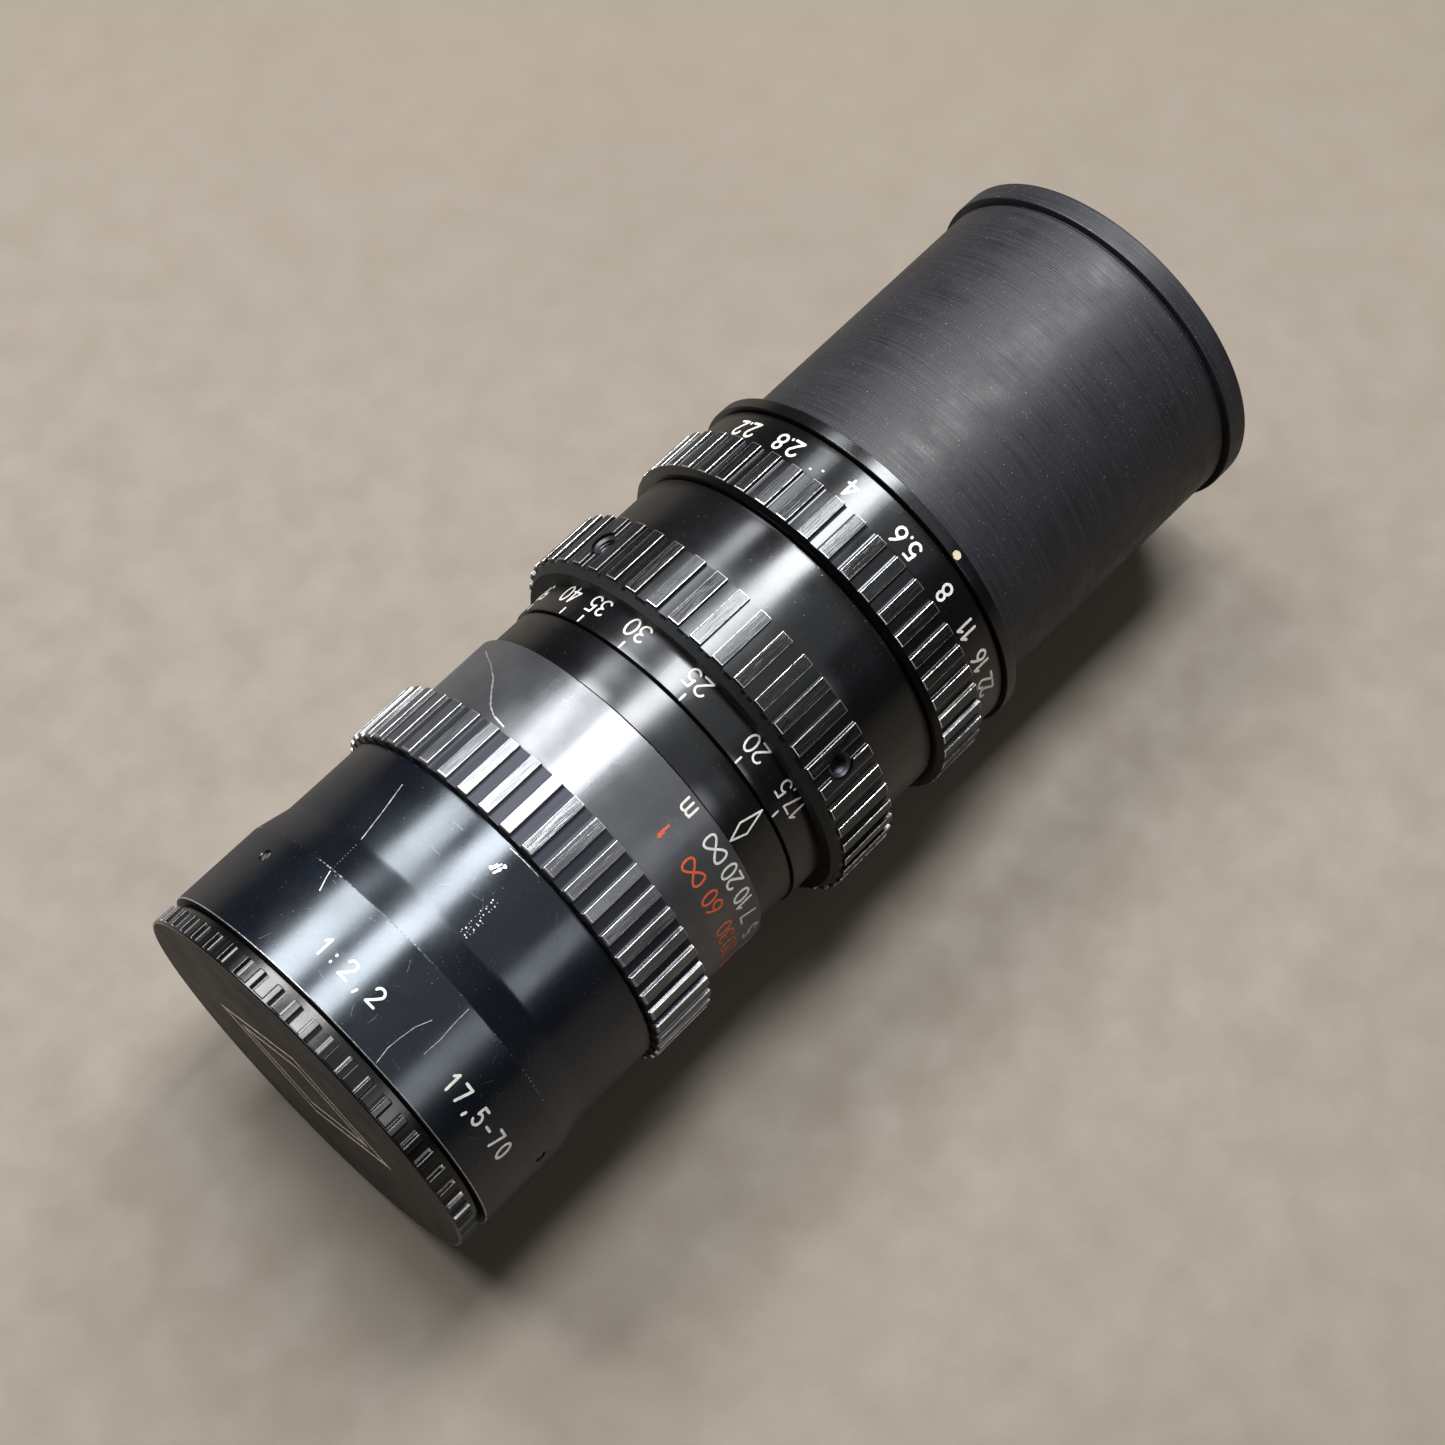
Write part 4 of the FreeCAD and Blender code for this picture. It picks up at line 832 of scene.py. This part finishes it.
def rear_barrel():
    corners = [
        (114.9, 22, 0), (114.9, 26.06, 0), (118.4, 26.06, 0), (118.4, 26.9, 0.15),
        (127, 26.9, 0.3), (127, 24, 0.1), (142, 24, 0.5), (150, 18, 0.5), (156, 18, 0.3),
        (156, 14.2, 0), (140, 14.2, 0), (140, 22, 0),
    ]
    lathe("rear_barrel_shell", corners, "lens_body", "rear_barrel", "black_anodised")


def mount_ring():
    corners = [
        (150, 10.1, 0), (150, 14.16, 0), (156.1, 14.16, 0), (156.1, 17, 0.25), (159, 17, 0.25),
        (159, 12.7, 0), (163, 12.7, 0.3), (163, 10.1, 0.2),
    ]
    camera_thread = {"start": 159.2, "end": 162.6, "crest": 12.7, "pitch": 0.79, "depth": -0.4}
    lathe("mount_shell", corners, "lens_body", "mount_ring", "mount_chrome",
          thread=camera_thread, longest=FINE_ROW)


def rear_cap():
    corners = [
        (118.65, 27, 0.1), (118.65, 28.9, 0.3), (170.9, 29.2, 0.15), (170.9, 28.75, 0.05),
        (171.6, 28.75, 0.05), (171.6, 30.25, 0.25), (175.5, 30.25, 0.4, 0.3),
        (175.5, 26.4, 0.2), (175.1, 25.9, 0.2), (175.1, 0, 0), (172.9, 0, 0), (172.9, 27, 0),
    ]
    print_layers = {"start": 119, "end": 174.9, "above": 28.7, "pitch": 0.4, "depth": 0.012}
    lathe("rear_cap_shell", corners, "rear_cover", "rear_cap", "printed_plastic",
          even_columns(RIPPLED_COLUMNS), longest=FINE_ROW, ripple=print_layers)


# ---- scales, marks and wear ----------------------------------------------------------------

# radii of the surfaces that carry marks
FRONT_RADIUS = 32
WAIST_RADIUS = 30.9
SKIRT_RADIUS = 29.8
ZOOM_SCALE_RADIUS = 29.35
MIDDLE_RADIUS = 30.4
APERTURE_SCALE_RADIUS = 31
CONE_SLOPE = 0.198  # how fast the front barrel's cone widens from the waist to the front
# stations of the rows of figures
METRES_STATION = 61.3
FEET_STATION = 56.7
ZOOM_STATION = 75.2
APERTURE_STATION = 112.4
FIGURE_HEIGHT = 2.9
FOCUS_STROKE = 0.37
ZOOM_STROKE = 0.33
APERTURE_STROKE = 0.44
SCRATCH_LIFT = 0.015  # how far a scratch stands above the surface, so that it shows
FAINT_LIFT = 0.01
HAIRLINE_STEPS = 3
HAIRLINE_STEP = 0.6
HAIRLINE_TURN = 1.2  # about the same length round the lens, in degrees
HAIRLINE_BEND = 0.25  # the most by which one turns between its steps, in radians
HAIRLINE_WIDTHS = (0.03, 0.06)
# figures with their ring angles; the zoom scale also has the ring angle of each tick
FOCUS_SCALE = (("m", 125.3), ("inf", 140), ("20", 151), ("10", 161.2), ("7", 169.7), ("5", 180),
               ("4", 193.5), ("3", 211), ("2", 246), ("1,5", 282), ("1,2", 317))
FEET_SCALE = (("inf", 140.5), ("60", 153.1), ("30", 167.6), ("20", 177), ("15", 189), ("10", 210),
              ("8", 226), ("6", 256), ("5", 280), ("4", 315))
ZOOM_SCALE = (("17,5", 146.5, 146.3), ("20", 126.9, 125.6), ("25", 102.1, 102.1),
              ("30", 78.6, 78.5), ("35", 62.2, 60.8), ("40", 48.2, 51.8), ("50", 29, 29),
              ("60", 12, 12), ("70", -2, -2))
APERTURE_SCALE = (("2.2", 51), ("2.8", 68.9), ("4", 92.6), ("5.6", 113.5), ("8", 130.9),
                  ("11", 144.5), ("16", 156.6), ("22", 167.6))


def focus_scales():
    """Distances in metres and in feet, and the small orange leaf."""
    metres = Marks("focus_figures", "focusing_ring", "white_paint")
    for words, angle in FOCUS_SCALE:
        metres.text(words, METRES_STATION, angle, SKIRT_RADIUS, FIGURE_HEIGHT, FOCUS_STROKE)
    metres.build()
    feet = Marks("feet_figures", "focusing_ring", "orange_paint")
    for words, angle in FEET_SCALE:
        feet.text(words, FEET_STATION, angle, SKIRT_RADIUS, FIGURE_HEIGHT, FOCUS_STROKE)
    feet.along([(55.8, 125.3), (56.6, 125.2)], SKIRT_RADIUS, 0.7, 0.2)
    feet.along([(56.6, 125.0), (57.8, 125.1)], SKIRT_RADIUS, 0.42, 0.3)
    feet.build()


def zoom_scale():
    marks = Marks("zoom_figures", "zoom_unit", "white_paint")
    for words, angle, tick in ZOOM_SCALE:
        marks.text(words, ZOOM_STATION, angle, ZOOM_SCALE_RADIUS, FIGURE_HEIGHT, ZOOM_STROKE)
        marks.along([(71.5, tick), (72.6, tick)], ZOOM_SCALE_RADIUS, ZOOM_STROKE)
    marks.build()


def aperture_scale():
    marks = Marks("aperture_figures", "aperture_unit", "white_paint")
    for words, angle in APERTURE_SCALE:
        marks.text(words, APERTURE_STATION, angle, APERTURE_SCALE_RADIUS, FIGURE_HEIGHT,
                   APERTURE_STROKE)
    for station, angle in ((111, 80), (111.9, 83.2)):
        marks.dot(station, angle, APERTURE_SCALE_RADIUS, 0.4)
    marks.build()


def index_marks():
    """The lozenge against which focus and zoom are read, and the dot for the aperture."""
    lozenge = Marks("index_diamond", "lens_body", "white_paint")
    corners = [(64.2, 142.8), (66.9, 145), (70.8, 142.8), (66.9, 140.6), (64.2, 142.8)]
    for start, end in zip(corners, corners[1:]):
        lozenge.along([start, end], 28.9, 0.3)
    lozenge.build()
    dot = Marks("aperture_index_dot", "lens_body", "ivory_paint", lift=0.03)
    dot.dot(117.1, 125.1, 31.85, 1.4)
    dot.build()


def front_figures():
    marks = Marks("front_figures", "front_carriage", "white_paint")
    marks.text("1:2,2", 11.2, 96, FRONT_RADIUS, 2.7, 0.38, gap=0.6, facing=-1)
    marks.text("17,5-70", 11.2, 147, FRONT_RADIUS, 2.7, 0.42, gap=0.5, facing=-1)
    marks.build()


def scatter(marks, count, stations, angles, radius, across):
    """Small round chips strewn over part of a surface."""
    for _ in range(count):
        marks.dot(random.uniform(*stations), random.uniform(*angles), radius,
                  random.uniform(*across))


def hairlines(marks, count, stations, angles, radius):
    """Faint fine scratches that run every way over part of a surface."""
    for _ in range(count):
        station = random.uniform(*stations)
        angle = random.uniform(*angles)
        places = [(station, angle)]
        heading = random.uniform(0, math.pi)
        for _ in range(HAIRLINE_STEPS):
            heading += random.uniform(-HAIRLINE_BEND, HAIRLINE_BEND)
            station += HAIRLINE_STEP * math.cos(heading)
            angle += HAIRLINE_TURN * math.sin(heading)
            places.append((station, angle))
        if stations[0] < station < stations[1]:
            marks.along(places, radius, random.uniform(*HAIRLINE_WIDTHS), 0.5)


def skirt_scratch():
    marks = Marks("skirt_scratch", "focusing_ring", "scratch", SCRATCH_LIFT)
    marks.along([(61, 38.1), (59, 48.1), (57, 55.1), (54.6, 60), (53, 63.5), (52, 67.2),
                 (51.5, 72.5)], SKIRT_RADIUS, 0.24, 0.6)
    marks.build()


def waist_scratches():
    """A long scratch, a rubbed blotch, a scraped edge and rows of small dents."""
    marks = Marks("waist_scratches", "front_carriage", "scratch", SCRATCH_LIFT)
    marks.along([(35.6, 65.3), (30.4, 67.9), (25.8, 69.8)], WAIST_RADIUS, 0.13, 0.5)
    for station, angle in ((34.8, 100.7), (35.2, 101.4), (34.6, 102.1), (35.5, 102.5)):
        marks.along([(station, angle), (station + 0.9, angle + 0.5)], WAIST_RADIUS, 0.42, 0.9)
    marks.along([(38.7, 100.5), (38.8, 105.1), (38.8, 110.4)], WAIST_RADIUS, 0.16, 0.8)
    for angle, count in ((107.2, 12), (108.3, 12), (109.4, 6)):
        for step in range(count):
            station = 25.6 + 0.58 * step + random.uniform(-0.2, 0.2)
            spot = angle + random.uniform(-0.35, 0.35)
            marks.dot(station, spot, WAIST_RADIUS, random.uniform(0.07, 0.26))
    marks.build()


def barrel_scratches():
    """Three scratches on the front of the barrel, and a dashed one down its cone."""
    marks = Marks("barrel_scratches", "front_carriage", "scratch", SCRATCH_LIFT)
    marks.along([(5.2, 116.2), (7.7, 115.5), (9.7, 115.8), (12.2, 116.4), (14.5, 118)],
                FRONT_RADIUS, 0.09, 0.5)
    marks.along([(10.7, 122.7), (13.6, 122.9), (16.6, 122.4), (19.2, 122.3)], FRONT_RADIUS,
                0.09, 0.5)
    marks.along([(19.4, 72.3), (18.4, 72.9), (16.4, 74.5)], FRONT_RADIUS, 0.12, 0.5)
    for number in range(10):
        station = 25.2 - 0.55 * number
        angle = 70 + 0.23 * number
        cone_radius = 30.93 + (25.05 - station) * CONE_SLOPE
        marks.along([(station, angle), (station - 0.5, angle + 0.2)], cone_radius, 0.12, 0.5)
    marks.build()


def faint_wear():
    """Small chips and hairlines on the front barrel, and chips on the main barrel."""
    front = Marks("faint_front_scratches", "front_carriage", "faint_scratch", FAINT_LIFT)
    scatter(front, 60, (5.5, 19.3), (60, 175), FRONT_RADIUS, (0.05, 0.14))
    scatter(front, 30, (17.8, 19.4), (60, 175), FRONT_RADIUS, (0.08, 0.2))
    hairlines(front, 22, (5.5, 19.3), (70, 150), FRONT_RADIUS)
    scatter(front, 40, (26, 38.5), (60, 165), WAIST_RADIUS, (0.05, 0.12))
    hairlines(front, 14, (26, 38.5), (70, 150), WAIST_RADIUS)
    front.build()
    middle = Marks("faint_middle_chips", "lens_body", "faint_scratch", FAINT_LIFT)
    scatter(middle, 50, (89.2, 100), (50, 170), MIDDLE_RADIUS, (0.05, 0.12))
    scatter(middle, 12, (99.6, 100.2), (60, 150), MIDDLE_RADIUS, (0.1, 0.25))
    middle.build()


# ---- floor, light and camera ---------------------------------------------------------------

# Here lengths are in metres, powers in watts and the camera's own sizes in millimetres.

FLOOR_WIDTH = 5
FLOOR_DARK = (0.108, 0.088, 0.0645)
FLOOR_PALE = (0.116, 0.0945, 0.07)
SKY_COLOUR = (0.9, 0.93, 1.0, 1.0)
SKY_STRENGTH = 0.05
# the camera's place and direction, from the fit to the ring edges in the photograph
CAMERA_FOCAL_LENGTH = 67.797
CAMERA_SENSOR_WIDTH = 36
CAMERA_PLACE = (-0.13275, -0.12534, 0.40813)
CAMERA_DIRECTION = (0.30864, 0.29364, -0.90472)


def floor():
    material, tree, shader = new_material("pale_floor")
    tone = blend(tree, spread(tree, grain(tree, 60, 5.0), 0.0, 1.0), FLOOR_DARK, FLOOR_PALE)
    wire(tree, shader, tone, spread(tree, grain(tree, 9, 4.0), 0.55, 0.65), 0.0,
         grain(tree, 0.8, 4.0), 0.02)
    mesh = bpy.data.meshes.new("pale_floor")
    half = FLOOR_WIDTH / 2
    corners = [(-half, -half, 0), (half, -half, 0), (half, half, 0), (-half, half, 0)]
    mesh.from_pydata(corners, [], [(0, 1, 2, 3)])
    mesh.materials.append(material)
    thing = bpy.data.objects.new("pale_floor", mesh)
    bpy.context.scene.collection.objects.link(thing)


def area_light(name, position, length, width, power):
    """A soft box that faces the lens, with its long side along the lens axis."""
    light = bpy.data.lights.new(name, "AREA")
    light.shape = "RECTANGLE"
    light.size = length
    light.size_y = width
    light.energy = power
    thing = bpy.data.objects.new(name, light)
    backwards = Vector(position).normalized()
    side = backwards.cross(Vector((1, 0, 0))).normalized()
    turned = Matrix((side.cross(backwards), side, backwards)).transposed()
    thing.matrix_world = Matrix.Translation(position) @ turned.to_4x4()
    bpy.context.scene.collection.objects.link(thing)


def lighting():
    """Two long soft boxes over the lens, a small one beyond it, and two weak fills."""
    area_light("key", (0.37, 0.1, 1.0), 0.82, 0.27, 20)
    area_light("side", (-0.08, 0.62, 0.97), 0.56, 0.39, 18.4)
    area_light("far_side", (0.38, 0.71, 0.93), 0.36, 0.2, 2.3)
    area_light("front", (0.03, -0.8, 0.55), 0.3, 0.26, 1.35)
    area_light("fill", (0.15, -0.5, 0.93), 0.7, 0.6, 0.95)
    world = bpy.data.worlds.new("studio")
    world.use_nodes = True
    background = world.node_tree.nodes["Background"]
    background.inputs["Color"].default_value = SKY_COLOUR
    background.inputs["Strength"].default_value = SKY_STRENGTH
    bpy.context.scene.world = world


def camera():
    lens = bpy.data.cameras.new("camera")
    lens.lens = CAMERA_FOCAL_LENGTH
    lens.sensor_width = CAMERA_SENSOR_WIDTH
    thing = bpy.data.objects.new("camera", lens)
    thing.location = CAMERA_PLACE
    thing.rotation_euler = Vector(CAMERA_DIRECTION).to_track_quat("-Z", "Y").to_euler()
    bpy.context.scene.collection.objects.link(thing)
    bpy.context.scene.camera = thing
    bpy.context.scene.view_settings.view_transform = "Standard"


def inner_pieces():
    """Everything the shells don't stand for keeps its own shape and takes its slot's look."""
    for part in frame["record"]["subparts"]:
        mesh = frame["nodes"][part["node"]].data
        mesh.materials.clear()
        mesh.materials.append(MATERIALS[part["material_slot"]])


inner_pieces()
front_cap()
cap_outline()
front_barrel()
set_screws()
focus_ring()
index_barrel()
zoom_ring()
lever_bushes()
main_barrel()
aperture_ring()
rear_index_ring()
rear_barrel()
mount_ring()
rear_cap()
focus_scales()
zoom_scale()
aperture_scale()
index_marks()
front_figures()
skirt_scratch()
waist_scratches()
barrel_scratches()
faint_wear()
floor()
lighting()
camera()
